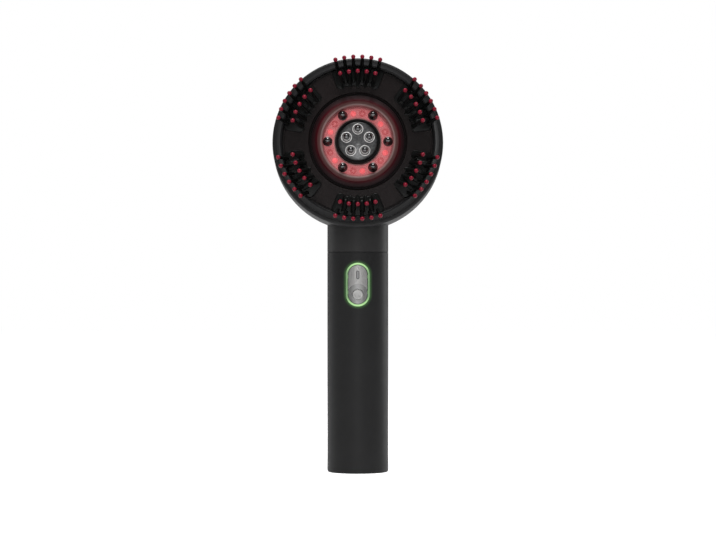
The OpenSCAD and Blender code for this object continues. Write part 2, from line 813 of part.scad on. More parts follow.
// Clear ring window over the lights
module led_window() {
    color([0.85, 0.45, 0.45, 0.8]) in_head() difference() {
        rotate_extrude() polygon([
            [window_in_r, window_foot], [window_out_r, window_foot], [window_out_r, window_top - 0.2],
            [window_out_r - 0.2, window_top], [window_in_r + 0.2, window_top],
            [window_in_r, window_top - 0.2]]);
        ring_place(pin_angles, pin_pitch_r) translate([0, 0, window_foot - cut])
            cylinder(r = 1 + fit, h = window_t + 2 * cut);
    }
}

// Stepped clear hood: rim round the window, two outward steps and a black groove
module light_hood() {
    rim_z = face_z + hood_rise;
    step_r = hood_in_r + 0.42 * hood_w;
    slope_r = hood_in_r + 0.83 * hood_w;
    color([0.35, 0.08, 0.1]) in_head() rotate_extrude() polygon([
        [hood_in_r - 0.8, carrier_top], [hood_out_r + hood_flange, carrier_top],
        [hood_out_r + hood_flange, panel_foot], [hood_out_r, panel_foot], [hood_out_r, face_z + 0.1],
        [hood_out_r - 0.3, face_z + 0.1], [hood_out_r - 0.3, face_z - 0.7], [slope_r, face_z - 0.7],
        [slope_r - 0.4, face_z + 0.05], [step_r + 0.25, rim_z - 0.75], [step_r, rim_z - 0.35],
        [hood_in_r + 0.95, rim_z], [hood_in_r + 0.5, rim_z], [hood_in_r, rim_z - 0.5],
        [hood_in_r, window_foot], [hood_in_r - 0.8, window_foot]]);
}

// Turned conical collars that hold the pins on the window
module pin_collars() {
    foot_r = 2.5;
    top_r = 1.6;
    step = 0.5;
    color([0.1, 0.1, 0.11]) in_head() ring_place(pin_angles, pin_pitch_r) translate([0, 0, window_top])
        rotate_extrude() polygon([
            [1 + run, 0], [foot_r, 0], [foot_r, step], [foot_r - 0.3, step + 0.2],
            [top_r, pin_rise - 2], [1 + run, pin_rise - 2]]);
}

// Metal contact pins with a ball end; the shank runs down into the board
module contact_pins() {
    color([0.6, 0.6, 0.62]) in_head() ring_place(pin_angles, pin_pitch_r) {
        translate([0, 0, carrier_foot + fit])
            cylinder(r = 1, h = window_top + pin_rise - carrier_foot - fit);
        translate([0, 0, window_top + pin_rise - 2]) cylinder(r1 = 1.5, r2 = 1.25, h = 1.4);
        translate([0, 0, window_top + pin_rise]) sphere(r = pin_ball_r);
    }
}

// ---- Front ----

// Bezel: crested ring with a ledge for the panel, a skirt and six hooks
module front_bezel() {
    crest_z = face_z + bezel_crest;
    crest_round = 0.75;
    crest_end = 70;
    crest_r = bezel_in_r + crest_round;
    skirt_foot = carrier_foot - 1.3;
    hook_gap = run;
    color([0.12, 0.12, 0.125]) in_head() difference() {
        union() {
            rotate_extrude() polygon(concat(
                [[bezel_in_r - ledge_w, carrier_top], [bezel_in_r - ledge_w, panel_foot],
                 [bezel_in_r, panel_foot]],
                arc([crest_r, crest_z - crest_round], crest_round, 180, crest_end, 5),
                [[bezel_edge_r - 0.35, split_z + 1.5], [bezel_edge_r, split_z + 1.1],
                 [bezel_edge_r, split_z], [skirt_r, split_z], [skirt_r, skirt_foot],
                 [skirt_r - skirt_wall, skirt_foot], [skirt_r - skirt_wall, carrier_top]]));
            for (a = hook_angles) rotate([0, 0, a]) intersection() {
                wedge(4, skirt_r, skirt_foot, carrier_foot - hook_gap);
                tube(skirt_r - skirt_wall / 2, carrier_r - 0.8, carrier_foot - 2, carrier_foot);
            }
        }
        for (a = pad_angles) rotate([0, 0, a])
            wedge(pad_half + 1, bezel_in_r + fit, carrier_top - cut, panel_foot);
    }
}

// Smoked clear panel with the six pad openings and a stepped outer edge
module smoked_panel() {
    color([0.09, 0.07, 0.07]) in_head() difference() {
        rotate_extrude() polygon([
            [panel_in_r, panel_foot], [panel_r, panel_foot], [panel_r, face_z - 0.8],
            [panel_r - 0.9, face_z - 0.8], [panel_r - 1.1, face_z], [panel_in_r + 0.3, face_z],
            [panel_in_r, face_z - 0.3]]);
        for (a = pad_angles) rotate([0, 0, a]) translate([0, 0, panel_foot - cut])
            linear_extrude(panel_t + 2 * cut) pad_outline(seat);
    }
}

// Nozzle plate: the tank's lid, with a skirt and the lugs of its bayonet
module nozzle_plate() {
    boss_r = 2.5;
    color([0.6, 0.6, 0.62]) in_head() difference() {
        union() {
            rotate_extrude() polygon([
                [0, plate_foot], [plate_r, plate_foot],
                [plate_r, plate_top - 0.6], [plate_r - 0.6, plate_top],
                [boss_r + 0.25, plate_top], [boss_r, plate_top + 0.3], [0, plate_top + 0.3]]);
            tube(skirt_out_r, skirt_in_r, skirt_foot, plate_foot + 0.5);
            for (i = [0 : bayonet_lugs - 1]) rotate([0, 0, i * 360 / bayonet_lugs]) intersection() {
                wedge(lug_half, well_r, skirt_foot + fit, ledge_top - ledge_t - fit);
                tube(lug_r, skirt_out_r - 0.5, skirt_foot, ledge_top);
            }
        }
        ring_place(nozzle_angles, nozzle_pitch_r) translate([0, 0, plate_foot - cut])
            cylinder(r = spout_foot_r - 0.6, h = plate_t + 2 * cut);
    }
}

// Angles of the nozzles
nozzle_angles = [for (i = [0 : nozzle_count - 1]) 90 + i * 360 / nozzle_count];

// Turned spouts: flange with a raised rim, cone, feed hole and the ball's socket
module nozzle_spouts() {
    socket_r = ball_r + run;
    lip_rise = 0.45;
    color([0.85, 0.85, 0.87]) in_head() ring_place(nozzle_angles, nozzle_pitch_r)
        translate([0, 0, plate_top]) difference() {
            rotate_extrude() polygon([
                [0, -plate_t], [spout_foot_r - 0.6 - run, -plate_t], [spout_foot_r - 0.6 - run, 0],
                [spout_flange_r, 0], [spout_flange_r, 0.55], [spout_flange_r - 0.35, 0.55],
                [spout_flange_r - 0.45, 0.25], [spout_foot_r, 0.25], [spout_foot_r - 0.15, 0.9],
                [spout_tip_r, ball_rise - 0.4], [spout_tip_r, ball_rise + 0.1],
                [socket_r, ball_rise + lip_rise], [0, ball_rise + lip_rise]]);
            translate([0, 0, ball_rise]) sphere(r = socket_r);
            translate([0, 0, -plate_t - cut]) cylinder(r = feed_r, h = ball_rise + plate_t);
        }
}

// Flat ring that seals the nozzle plate's skirt in the neck
module cap_seal() {
    color([0.6, 0.12, 0.1]) in_head()
        tube(groove_r - seat, throat_r + seat, shoulder_z, shoulder_z + seal_t);
}

// Steel ball that rolls in a spout and carries the oil out
module nozzle_ball(i) {
    color([0.35, 0.35, 0.37]) in_head() rotate([0, 0, nozzle_angles[i]])
        translate([nozzle_pitch_r, 0, plate_top + ball_rise]) sphere(r = ball_r);
}
module nozzle_ball_1() { if (nozzle_count > 0) nozzle_ball(0); }
module nozzle_ball_2() { if (nozzle_count > 1) nozzle_ball(1); }
module nozzle_ball_3() { if (nozzle_count > 2) nozzle_ball(2); }
module nozzle_ball_4() { if (nozzle_count > 3) nozzle_ball(3); }
module nozzle_ball_5() { if (nozzle_count > 4) nozzle_ball(4); }

// ---- Comb pads ----

// Places of all teeth of a pad, leaning outward, with the foot on the pad's top
module tooth_places() {
    top = face_z + pad_rise;
    for (row = [[inner_teeth, inner_step, inner_row_r], [outer_teeth, outer_step, outer_row_r]])
        for (i = [0 : row[0] - 1]) rotate([0, 0, (i - (row[0] - 1) / 2) * row[1]])
            translate([row[2], 0, top]) rotate([0, tooth_lean, 0]) children();
}

// Silicone pad: base with lobed edge, outer lip, ridges, teeth and two pegs
module comb_pad(i) {
    top = face_z + pad_rise;
    tooth_len = tooth_h / cos(tooth_lean);
    end_r = 0.75 * tip_r;
    end_z = tooth_len - sqrt(pow(tip_r, 2) - pow(end_r, 2));
    ridge_r = 1.35;
    ridge_from = inner_row_r + 1.4;
    ridge_to = pad_out_r - 1.2;
    peg_r = 1.35;
    lip_w = 0.7;
    color([0.09, 0.095, 0.09]) in_head() rotate([0, 0, pad_angles[i]]) {
        translate([0, 0, carrier_top]) linear_extrude(top - carrier_top) pad_outline();
        intersection() {
            wedge(pad_half - 4, pad_out_r, top - 0.5, top + 0.9);
            tube(pad_out_r - fit, pad_out_r - fit - lip_w, top - 0.5, top + 0.9);
        }
        for (k = [0 : inner_teeth - 2]) rotate([0, 0, (k - (inner_teeth - 2) / 2) * inner_step])
            translate([ridge_from, 0, top - 0.3]) rotate([0, 90, 0]) {
                cylinder(r = ridge_r, h = ridge_to - ridge_from);
                translate([0, 0, -0.9]) cylinder(r1 = ridge_r - 0.7, r2 = ridge_r, h = 0.9);
            }
        tooth_places() translate([0, 0, -0.6]) cylinder(r1 = tooth_r, r2 = end_r, h = end_z + 0.6);
        peg_places() {
            translate([0, 0, carrier_foot - 1.6]) cylinder(r = peg_r, h = carrier_t + 1.6 + 0.5);
            translate([0, 0, carrier_foot - 1.8]) cylinder(r1 = 1.2, r2 = 1.9, h = 1.6);
        }
    }
}

// Hard red ball ends of a pad's teeth, flat where they sit on the shafts
module comb_tips(i) {
    tooth_len = tooth_h / cos(tooth_lean);
    end_r = 0.75 * tip_r;
    drop = sqrt(pow(tip_r, 2) - pow(end_r, 2));
    color([0.72, 0.12, 0.2]) in_head() rotate([0, 0, pad_angles[i]]) tooth_places()
        translate([0, 0, tooth_len]) difference() {
            sphere(r = tip_r, $fn = 32);
            translate([0, 0, -drop - 2 * tip_r]) cylinder(r = 2 * tip_r, h = 2 * tip_r);
        }
}
module comb_pad_1() { comb_pad(0); }
module comb_pad_2() { comb_pad(1); }
module comb_pad_3() { comb_pad(2); }
module comb_pad_4() { comb_pad(3); }
module comb_pad_5() { comb_pad(4); }
module comb_pad_6() { comb_pad(5); }
module comb_tips_1() { comb_tips(0); }
module comb_tips_2() { comb_tips(1); }
module comb_tips_3() { comb_tips(2); }
module comb_tips_4() { comb_tips(3); }
module comb_tips_5() { comb_tips(4); }
module comb_tips_6() { comb_tips(5); }

handle_tube();
base_cap();
charge_port();
charge_board();
chassis();
battery();
control_board();
board_screws();
tact_switch();
status_leds();
switch_frame();
light_ring();
control_plate();
power_button();
switch_plunger();
rear_shell();
motor_mount();
vibration_motor();
motor_shaft();
eccentric_weight();
head_carrier();
head_screws();
tank_cover();
oil_tank();
tank_screws();
led_board();
spot_leds();
ring_leds();
led_window();
light_hood();
pin_collars();
contact_pins();
front_bezel();
smoked_panel();
nozzle_plate();
nozzle_spouts();
cap_seal();
nozzle_ball_1();
nozzle_ball_2();
nozzle_ball_3();
nozzle_ball_4();
nozzle_ball_5();
comb_pad_1();
comb_pad_2();
comb_pad_3();
comb_pad_4();
comb_pad_5();
comb_pad_6();
comb_tips_1();
comb_tips_2();
comb_tips_3();
comb_tips_4();
comb_tips_5();
comb_tips_6();
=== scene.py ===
import json
import math

import bmesh
import bpy
from mathutils import Matrix, Vector


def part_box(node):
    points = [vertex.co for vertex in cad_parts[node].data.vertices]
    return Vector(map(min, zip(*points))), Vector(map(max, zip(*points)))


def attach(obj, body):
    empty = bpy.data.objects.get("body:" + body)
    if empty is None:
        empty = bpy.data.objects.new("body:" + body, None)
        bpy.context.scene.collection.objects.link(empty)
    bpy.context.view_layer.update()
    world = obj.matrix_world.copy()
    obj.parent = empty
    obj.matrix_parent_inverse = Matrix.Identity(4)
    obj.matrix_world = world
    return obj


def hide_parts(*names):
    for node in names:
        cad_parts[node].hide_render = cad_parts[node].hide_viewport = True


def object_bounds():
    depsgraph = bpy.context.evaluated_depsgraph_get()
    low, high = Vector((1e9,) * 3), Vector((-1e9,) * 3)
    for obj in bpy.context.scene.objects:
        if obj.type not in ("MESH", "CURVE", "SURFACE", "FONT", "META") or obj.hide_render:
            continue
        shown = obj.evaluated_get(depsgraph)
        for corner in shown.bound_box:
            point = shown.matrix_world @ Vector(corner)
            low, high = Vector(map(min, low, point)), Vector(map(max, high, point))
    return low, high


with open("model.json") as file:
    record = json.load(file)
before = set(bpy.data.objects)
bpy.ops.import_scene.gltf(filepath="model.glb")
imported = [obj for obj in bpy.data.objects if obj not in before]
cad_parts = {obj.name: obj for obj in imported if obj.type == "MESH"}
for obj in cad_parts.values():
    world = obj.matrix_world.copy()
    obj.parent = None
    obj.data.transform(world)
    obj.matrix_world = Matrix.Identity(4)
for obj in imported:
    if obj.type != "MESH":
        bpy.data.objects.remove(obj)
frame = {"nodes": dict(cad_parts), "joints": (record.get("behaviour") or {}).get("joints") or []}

cad_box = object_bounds()
nodes = frame["nodes"]
joints = {joint["name"]: joint for joint in frame["joints"]}
mm = 0.001

# ---- Handle tube ----
# Straight tube of matt black soft-touch plastic, moulded in one piece with a
# rounded foot and a narrow chamfer where it meets the neck. Its window for the
# control oval is cut through the front wall.
handle_low, handle_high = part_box("handle_tube")
handle_r = (handle_high[0] - handle_low[0]) / 2
seam_z = handle_high[2]
ring_low, ring_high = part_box("light_ring")
control_z = (ring_low[2] + ring_high[2]) / 2
oval_w = 12.2 * mm
oval_h = 22.4 * mm


def smooth(bm, sharp=28):
    """Rounds the shading of a mesh, except at edges sharper than an angle."""
    for face in bm.faces:
        face.smooth = True
    for edge in bm.edges:
        edge.smooth = not (edge.is_manifold and edge.calc_face_angle() > math.radians(sharp))


def make(name, bm, body, *replaced, sharp=28):
    """Turns a finished bmesh into the piece that rides on a body."""
    bmesh.ops.recalc_face_normals(bm, faces=bm.faces)
    smooth(bm, sharp)
    mesh = bpy.data.meshes.new(name)
    bm.to_mesh(mesh)
    bm.free()
    piece = bpy.data.objects.new(name, mesh)
    bpy.context.collection.objects.link(piece)
    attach(piece, body)
    if replaced:
        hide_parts(*replaced)
    return piece


def turn(outline, steps=128, place=Matrix.Identity(4), bm=None):
    """Spins a closed outline of (radius, height) points round the axis of its place."""
    bm = bm or bmesh.new()
    old = set(bm.verts)
    points = [bm.verts.new((r, 0, z)) for r, z in outline]
    edges = [bm.edges.new((a, b)) for a, b in zip(points, points[1:] + points[:1])]
    bmesh.ops.spin(bm, geom=points + edges, cent=(0, 0, 0), axis=(0, 0, 1), angle=math.tau,
                   steps=steps, use_merge=True)
    new = [v for v in bm.verts if v not in old]
    bmesh.ops.remove_doubles(bm, verts=new, dist=1e-6)
    new = [v for v in bm.verts if v not in old]
    bmesh.ops.transform(bm, matrix=place, verts=new)
    return bm


def bend(centre, r, start, end, steps=6):
    """Points of a round stretch in an outline."""
    angles = [math.radians(start + (end - start) * i / steps) for i in range(steps + 1)]
    return [(centre[0] + r * math.cos(a), centre[1] + r * math.sin(a)) for a in angles]


def carve(piece, cutter_bm, operation="DIFFERENCE"):
    """Cuts a shape out of a piece, or keeps only what lies inside it, for good."""
    mesh = bpy.data.meshes.new("cutter")
    bmesh.ops.recalc_face_normals(cutter_bm, faces=cutter_bm.faces)
    cutter_bm.to_mesh(mesh)
    cutter_bm.free()
    cutter = bpy.data.objects.new("cutter", mesh)
    bpy.context.collection.objects.link(cutter)
    modifier = piece.modifiers.new("carve", "BOOLEAN")
    modifier.object = cutter
    modifier.operation = operation
    modifier.solver = "EXACT"
    bpy.context.view_layer.update()
    finished = piece.evaluated_get(bpy.context.evaluated_depsgraph_get())
    carved = bpy.data.meshes.new_from_object(finished)
    piece.modifiers.clear()
    old = piece.data
    piece.data = carved
    bpy.data.meshes.remove(old)
    carved.name = piece.name
    bpy.data.objects.remove(cutter)
    bpy.data.meshes.remove(mesh)
    bm = bmesh.new()
    bm.from_mesh(carved)
    bmesh.ops.remove_doubles(bm, verts=bm.verts, dist=2e-6)
    smooth(bm)
    bm.to_mesh(carved)
    bm.free()


def capsule(bm, w, h, z, y, steps=24):
    """A flat upright capsule, as one face across the handle."""
    r = w / 2
    top = bend((0, z + h / 2 - r), r, 0, 180, steps)
    foot = bend((0, z - h / 2 + r), r, 180, 360, steps)
    return bm.faces.new([bm.verts.new((x, y, height)) for x, height in top + foot])


def pull(bm, faces, vec):
    """Extrudes faces along a vector and returns the verts of the far end."""
    pulled = bmesh.ops.extrude_face_region(bm, geom=faces)
    ends = [v for v in pulled["geom"] if isinstance(v, bmesh.types.BMVert)]
    bmesh.ops.translate(bm, verts=ends, vec=vec)
    return ends


def capsule_prism(w, h, z, y_front, y_back):
    """A capsule pulled through the handle's front wall."""
    bm = bmesh.new()
    pull(bm, [capsule(bm, w, h, z, y_front)], (0, y_back - y_front, 0))
    bmesh.ops.recalc_face_normals(bm, faces=bm.faces)
    return bm


class Finish:
    """A material's node tree, with short calls for the nodes that finishes use."""

    def __init__(self, name, colour, rough, metal=0.0):
        self.material = bpy.data.materials.new(name)
        self.material.use_nodes = True
        self.tree = self.material.node_tree
        self.shader = self.tree.nodes["Principled BSDF"]
        self.colour = colour
        self.set("Base Color", (*colour, 1))
        self.set("Roughness", rough)
        self.set("Metallic", metal)
        self.place = self.add("ShaderNodeTexCoord").outputs["Object"]

    def add(self, kind, **inputs):
        made = self.tree.nodes.new(kind)
        for key, value in inputs.items():
            self.feed(value, made.inputs[key.replace("_", " ")])
        return made

    def feed(self, value, socket):
        if isinstance(value, bpy.types.NodeSocket):
            self.tree.links.new(value, socket)
        else:
            socket.default_value = value

    def set(self, key, value):
        self.feed(value, self.shader.inputs[key])

    def math(self, operation, a, b=0.0, c=0.0):
        made = self.add("ShaderNodeMath")
        made.operation = operation
        for socket, value in zip(made.inputs, (a, b, c)):
            self.feed(value, socket)
        return made.outputs["Value"]

    def noise(self, scale, detail=2.0, stretch=None):
        place = self.place
        if stretch:
            mapping = self.add("ShaderNodeMapping", Vector=place, Scale=stretch)
            place = mapping.outputs["Vector"]
        made = self.add("ShaderNodeTexNoise", Vector=place, Scale=scale, Detail=detail)
        return made.outputs["Fac"]

    def along(self, axis):
        """Where a point lies along one axis of the part."""
        return self.add("ShaderNodeSeparateXYZ", Vector=self.place).outputs[axis]

    def span(self, value, **ends):
        """Stretches a value from one range to another, 0 to 1 unless told."""
        return self.add("ShaderNodeMapRange", Value=value, **ends).outputs["Result"]

    def vector(self, operation, a, b=(0, 0, 0)):
        made = self.add("ShaderNodeVectorMath")
        made.operation = operation
        self.feed(a, made.inputs[0])
        self.feed(b, made.inputs["Scale" if operation == "SCALE" else 1])
        return made.outputs["Value" if operation in ("LENGTH", "DOT_PRODUCT") else "Vector"]

    def ramp(self, value, stops):
        made = self.add("ShaderNodeValToRGB", Fac=value)
        points = made.color_ramp.elements
        while len(points) < len(stops):
            points.new(0.5)
        for point, (position, colour) in zip(points, stops):
            point.position = position
            point.color = (*colour, 1)
        return made.outputs["Color"]

    def vary(self, amount, scale, detail=3.0):
        """Lets the base colour wander a little lighter and darker."""
        low = [c * (1 - amount) for c in self.colour]
        high = [c * (1 + amount) for c in self.colour]
        self.set("Base Color", self.ramp(self.noise(scale, detail), [(0.3, low), (0.7, high)]))

    def vary_rough(self, low, high, scale, stretch=None):
        self.set("Roughness", self.span(self.noise(scale, 3.0, stretch), To_Min=low, To_Max=high))

    def glow(self, colour, strength):
        self.set("Emission Color", (*colour, 1))
        self.set("Emission Strength", strength)

    def capsule_gap(self, w, h, z):
        """How far a point lies outside an upright capsule on the handle; negative inside it."""
        parts = self.add("ShaderNodeSeparateXYZ", Vector=self.place).outputs
        up = self.math("ABSOLUTE", self.math("SUBTRACT", parts["Z"], z))
        up = self.math("MAXIMUM", self.math("SUBTRACT", up, (h - w) / 2), 0.0)
        flat = self.add("ShaderNodeCombineXYZ", X=parts["X"], Z=up).outputs["Vector"]
        return self.math("SUBTRACT", self.vector("LENGTH", flat), w / 2)

    def bump(self, height, strength, depth):
        made = self.add("ShaderNodeBump", Height=height, Strength=strength, Distance=depth)
        self.set("Normal", made.outputs["Normal"])


def dress(piece, *finishes):
    """Gives a piece, or a CAD node, its finishes in the order of its slots."""
    piece.data.materials.clear()
    for finish in finishes:
        piece.data.materials.append(finish.material)


def soft_touch(finish):
    """Gives a finish the fine matt grain of soft-touch plastic."""
    finish.vary_rough(0.42, 0.5, 300)
    finish.set("Specular IOR Level", 0.19)
    finish.bump(finish.noise(4200, 3.0), 0.22, 0.00006)


soft_black = Finish("soft_touch_black", (0.012, 0.012, 0.0124), 0.46)
soft_black.vary(0.08, 60)
soft_touch(soft_black)
# Painted light: a faint green glow painted into the front of the tube round its window, standing in for the
# light ring's light spilling onto it.
spill_reach = 1.8 * mm
painted_green_spill = soft_black.span(soft_black.capsule_gap(oval_w, oval_h, control_z),
                              From_Max=spill_reach, To_Min=1.0, To_Max=0.0)
painted_green_spill = soft_black.math("MULTIPLY", painted_green_spill, painted_green_spill)
on_front = soft_black.math("LESS_THAN", soft_black.along("Y"), 0.0)
soft_black.glow((0.045, 0.13, 0.034), soft_black.math("MULTIPLY", painted_green_spill, on_front))

foot_r = 1.0 * mm
wall = 1.8 * mm
chamfer = 0.3 * mm
tube_bm = turn(
    [(handle_r - wall, 0), (handle_r - foot_r, 0)]
    + bend((handle_r - foot_r, foot_r), foot_r, -75, 0, 8)
    + [(handle_r, 20 * mm), (handle_r, 60 * mm), (handle_r, seam_z - chamfer),
       (handle_r - chamfer, seam_z), (handle_r - wall, seam_z)], 160)
handle_tube = make("handle_tube_shell", tube_bm, "massager", "handle_tube")
window_play = 0.2 * mm
carve(handle_tube, capsule_prism(oval_w + window_play, oval_h + window_play, control_z,
                                 -2 * handle_r, -handle_r / 2))
dress(handle_tube, soft_black)

# ---- Light ring of the switch ----
# Clear green light guide that fills the slit between the tube and the control
# plate. Four green chips behind it make it glow, brightest at its two ends.
ring_wall = 1.15 * mm
ring_swell = 0.12 * mm
ring_bm = bmesh.new()
rim_face = capsule(ring_bm, oval_w, oval_h, control_z, 0)
for inset, rise in ((0.2 * mm, ring_swell), (ring_wall - 0.4 * mm, ring_swell), (0.2 * mm, 0)):
    bmesh.ops.inset_region(ring_bm, faces=[rim_face], thickness=inset, use_boundary=True)
    for v in rim_face.verts:
        v.co.y = -rise
bmesh.ops.delete(ring_bm, geom=[rim_face], context="FACES_ONLY")
front = list(ring_bm.verts)
pull(ring_bm, list(ring_bm.faces), (0, 6 * mm, 0))
for v in front:
    v.co.y += ring_swell - math.sqrt(handle_r ** 2 - v.co.x ** 2)
for v in set(ring_bm.verts) - set(front):
    v.co.y = ring_high[1]
light_ring = make("light_ring_guide", ring_bm, "massager", "light_ring")

glow_green = Finish("lit_green_guide", (0.14, 0.24, 0.12), 0.35)
end_glow = glow_green.math("ABSOLUTE", glow_green.math("SUBTRACT", glow_green.along("Z"), control_z))
end_glow = glow_green.math("DIVIDE", end_glow, oval_h / 2)
glow_green.set("Emission Color", glow_green.ramp(end_glow, [
    (0.0, (0.065, 0.12, 0.05)), (0.55, (0.09, 0.165, 0.07)),
    (0.8, (0.3, 0.52, 0.21)), (1.0, (0.42, 0.72, 0.28))]))
inner_fade = glow_green.span(glow_green.capsule_gap(oval_w, oval_h, control_z),
                             From_Min=-ring_wall, From_Max=-0.55 * ring_wall, To_Min=0.25, To_Max=0.85)
glow_green.set("Emission Strength", inner_fade)
dress(light_ring, glow_green)

# ---- Control plate and button ----
# Brushed aluminium plate, curved like the handle, with an upright slot mark
# pressed in and a flat land milled round the button. The mark and the land's wall
# are painted dark as painted shade, and the land is painted lighter in its middle
# than at its sides as a painted sheen. The button is turned from the same metal,
# with a dished face.
plate_face = handle_r - 0.05 * mm
plate_w = oval_w - 2 * ring_wall - 0.2 * mm
plate_h = oval_h - 2 * ring_wall - 0.2 * mm
plate_back = handle_r - 2.2 * mm
land_depth = 0.9 * mm
land_front = plate_face - land_depth
land_r = 5.4 * mm
button_r = 2.8 * mm
button_z = control_z - 5 * mm
button_axis = Matrix.Translation((0, 0, button_z)) @ Matrix.Rotation(math.radians(90), 4, "X")
plate_bm = turn([(plate_back - 0.4 * mm, control_z - oval_h), (plate_face, control_z - oval_h),
                 (plate_face, control_z + oval_h), (plate_back - 0.4 * mm, control_z + oval_h)], 256)
control_plate = make("control_plate_pressing", plate_bm, "massager", "control_plate")
carve(control_plate, capsule_prism(plate_w, plate_h, control_z, -2 * handle_r, -plate_back), "INTERSECT")
land_draft = 0.3 * mm
button_gap = 0.08 * mm
carve(control_plate, turn([(0, land_front), (land_r, land_front), (land_r + land_draft, 2 * handle_r),
                           (0, 2 * handle_r)], 96, button_axis))
carve(control_plate, turn([(0, plate_back / 2), (button_r + button_gap, plate_back / 2),
                           (button_r + button_gap, 2 * handle_r), (0, 2 * handle_r)], 96, button_axis))
mark_w = 1.6 * mm
mark_h = 4.4 * mm
mark_z = control_z + 5 * mm
mark_depth = 0.35 * mm
carve(control_plate, capsule_prism(mark_w, mark_h, mark_z, -2 * handle_r, -plate_face + mark_depth))

button_face = land_front + 0.3 * mm
dish_r = 30 * mm
dish_depth = 0.08 * mm
dish_rim = math.sqrt(dish_r ** 2 - (dish_r - dish_depth) ** 2)
dish_half = math.degrees(math.asin(dish_rim / dish_r))
button_edge = 0.42 * mm
button_bm = turn(
    [(0, plate_back + 0.1 * mm), (button_r + 0.6 * mm, plate_back + 0.1 * mm),
     (button_r + 0.6 * mm, plate_back + 0.7 * mm), (button_r, plate_back + 0.7 * mm)]
    + bend((button_r - button_edge, button_face - button_edge), button_edge, 0, 90, 5)
    + bend((0, button_face - dish_depth + dish_r), dish_r, -90 + dish_half, -90, 6),
    96, button_axis)
power_button = make("power_button_cap", button_bm, "power_button", "power_button")

brushed = Finish("brushed_aluminium", (0.36, 0.356, 0.35), 0.34, 1.0)
brushed.vary(0.05, 500)
brushed.vary_rough(0.36, 0.46, 900, (0.15, 1, 6))
brushed.bump(brushed.noise(2500, 2.0, (0.12, 1, 8)), 0.08, 0.00004)
# Painted shade: the slot mark is painted dark, darkest at its edges, and the same finish paints the land's
# sloping wall, standing in for the shade in these recesses.
mark_and_wall_shade = Finish("painted_mark_and_wall_shade", (0.3, 0.3, 0.3), 0.4, 0.6)
mark_edge_shade = mark_and_wall_shade.span(mark_and_wall_shade.capsule_gap(mark_w, mark_h, mark_z),
                          From_Min=-0.5 * mm, From_Max=-0.25 * mm)
mark_and_wall_shade.set("Base Color", mark_and_wall_shade.ramp(mark_edge_shade, [
    (0.0, (0.24, 0.24, 0.24)), (1.0, (0.07, 0.07, 0.07))]))
# Painted sheen: the flat land is painted lighter in its middle and darker towards its sides.
milled = Finish("milled_land_painted_sheen", (0.16, 0.16, 0.16), 0.34, 1.0)
sideways = milled.math("DIVIDE", milled.math("ABSOLUTE", milled.along("X")), 4 * mm)
milled.set("Base Color", milled.ramp(sideways, [
    (0.1, (0.28, 0.28, 0.277)), (0.9, (0.12, 0.12, 0.118))]))
milled.vary_rough(0.34, 0.44, 900, (0.15, 1, 6))
dress(control_plate, brushed, mark_and_wall_shade, milled)
for face in control_plate.data.polygons:
    x, y, z = face.center
    from_button = math.hypot(x, z - button_z)
    if abs(y + land_front) < 0.05 * mm:
        face.material_index = 2
    # The land's sloping wall gets the painted shade.
    elif abs(from_button - land_r - land_draft / 2) < 0.2 * mm and abs(face.normal.y) < 0.7:
        face.material_index = 1
    in_mark = abs(x) < mark_w / 2 and abs(z - mark_z) < mark_h / 2
    if in_mark and 0.2 * mm < y + plate_face < 0.5 * mm:
        face.material_index = 1
dress(power_button, brushed)

# ---- Neck and rear shell ----
# One moulding in matt black plastic: the neck, which plugs into the handle tube,
# and the deep bowl. Its colour is painted a tone lighter at the neck's foot, painted
# light that fades darker up the neck. The head is tilted on the neck, and its
# pieces are drawn on the axis that the nozzle plate twists about.
twist = joints["nozzle_cap_twist"]
head_axis = Vector(twist["axis"]).normalized()
head_centre = Vector(twist["pos_m"])
head_up = head_axis.cross(Vector((1, 0, 0))).normalized()
head = Matrix.Translation(head_centre) @ Matrix((
    (1, head_up.x, head_axis.x, 0), (0, head_up.y, head_axis.y, 0),
    (0, head_up.z, head_axis.z, 0), (0, 0, 0, 1)))


def merged(node):
    """A CAD node's solid as one joined mesh, ready for finer shading."""
    bm = bmesh.new()
    bm.from_mesh(nodes[node].data)
    bmesh.ops.remove_doubles(bm, verts=bm.verts, dist=2e-6)
    return bm


rear_shell = make("rear_shell_moulding", merged("rear_shell"), "massager", "rear_shell", sharp=24)
neck_black = Finish("soft_touch_black_neck", (0.012, 0.012, 0.0124), 0.46)
# Painted light: lighter at the neck's foot, darker further up.
foot_light_reach = 16 * mm
neck_up = neck_black.math("DIVIDE", neck_black.math("SUBTRACT", neck_black.along("Z"), seam_z), foot_light_reach)
neck_black.set("Base Color", neck_black.ramp(neck_up, [
    (0.0, (0.027, 0.0263, 0.0267)), (0.7, (0.021, 0.0207, 0.021)), (1.0, (0.0095, 0.0095, 0.0098))]))
soft_touch(neck_black)
dress(rear_shell, neck_black)

# ---- Front bezel ----
# Satin black ring that clips into the rear shell. Its crest stands over the
# panel and its face slopes back to the seam.
bezel_in_r = 38.8 * mm
bezel_edge_r = 41.9 * mm
face_z = 4.5 * mm
panel_foot = 2.5 * mm
carrier_top = 1.0 * mm
split_z = 1.5 * mm
crest_round = 0.75 * mm
crest_z = face_z + 1.7 * mm
skirt_r = 40.6 * mm
skirt_foot = -2.3 * mm
bezel_bm = turn(
    [(bezel_in_r - 1.4 * mm, carrier_top), (bezel_in_r - 1.4 * mm, panel_foot), (bezel_in_r, panel_foot)]
    + bend((bezel_in_r + crest_round, crest_z - crest_round), crest_round, 180, 60, 8)
    + bend((bezel_edge_r - 0.5 * mm, split_z + 0.9 * mm), 0.5 * mm, 50, 0, 4)
    + [(bezel_edge_r, split_z), (skirt_r, split_z), (skirt_r, skirt_foot),
       (skirt_r - 1.2 * mm, skirt_foot), (skirt_r - 1.2 * mm, carrier_top)], 224, head)
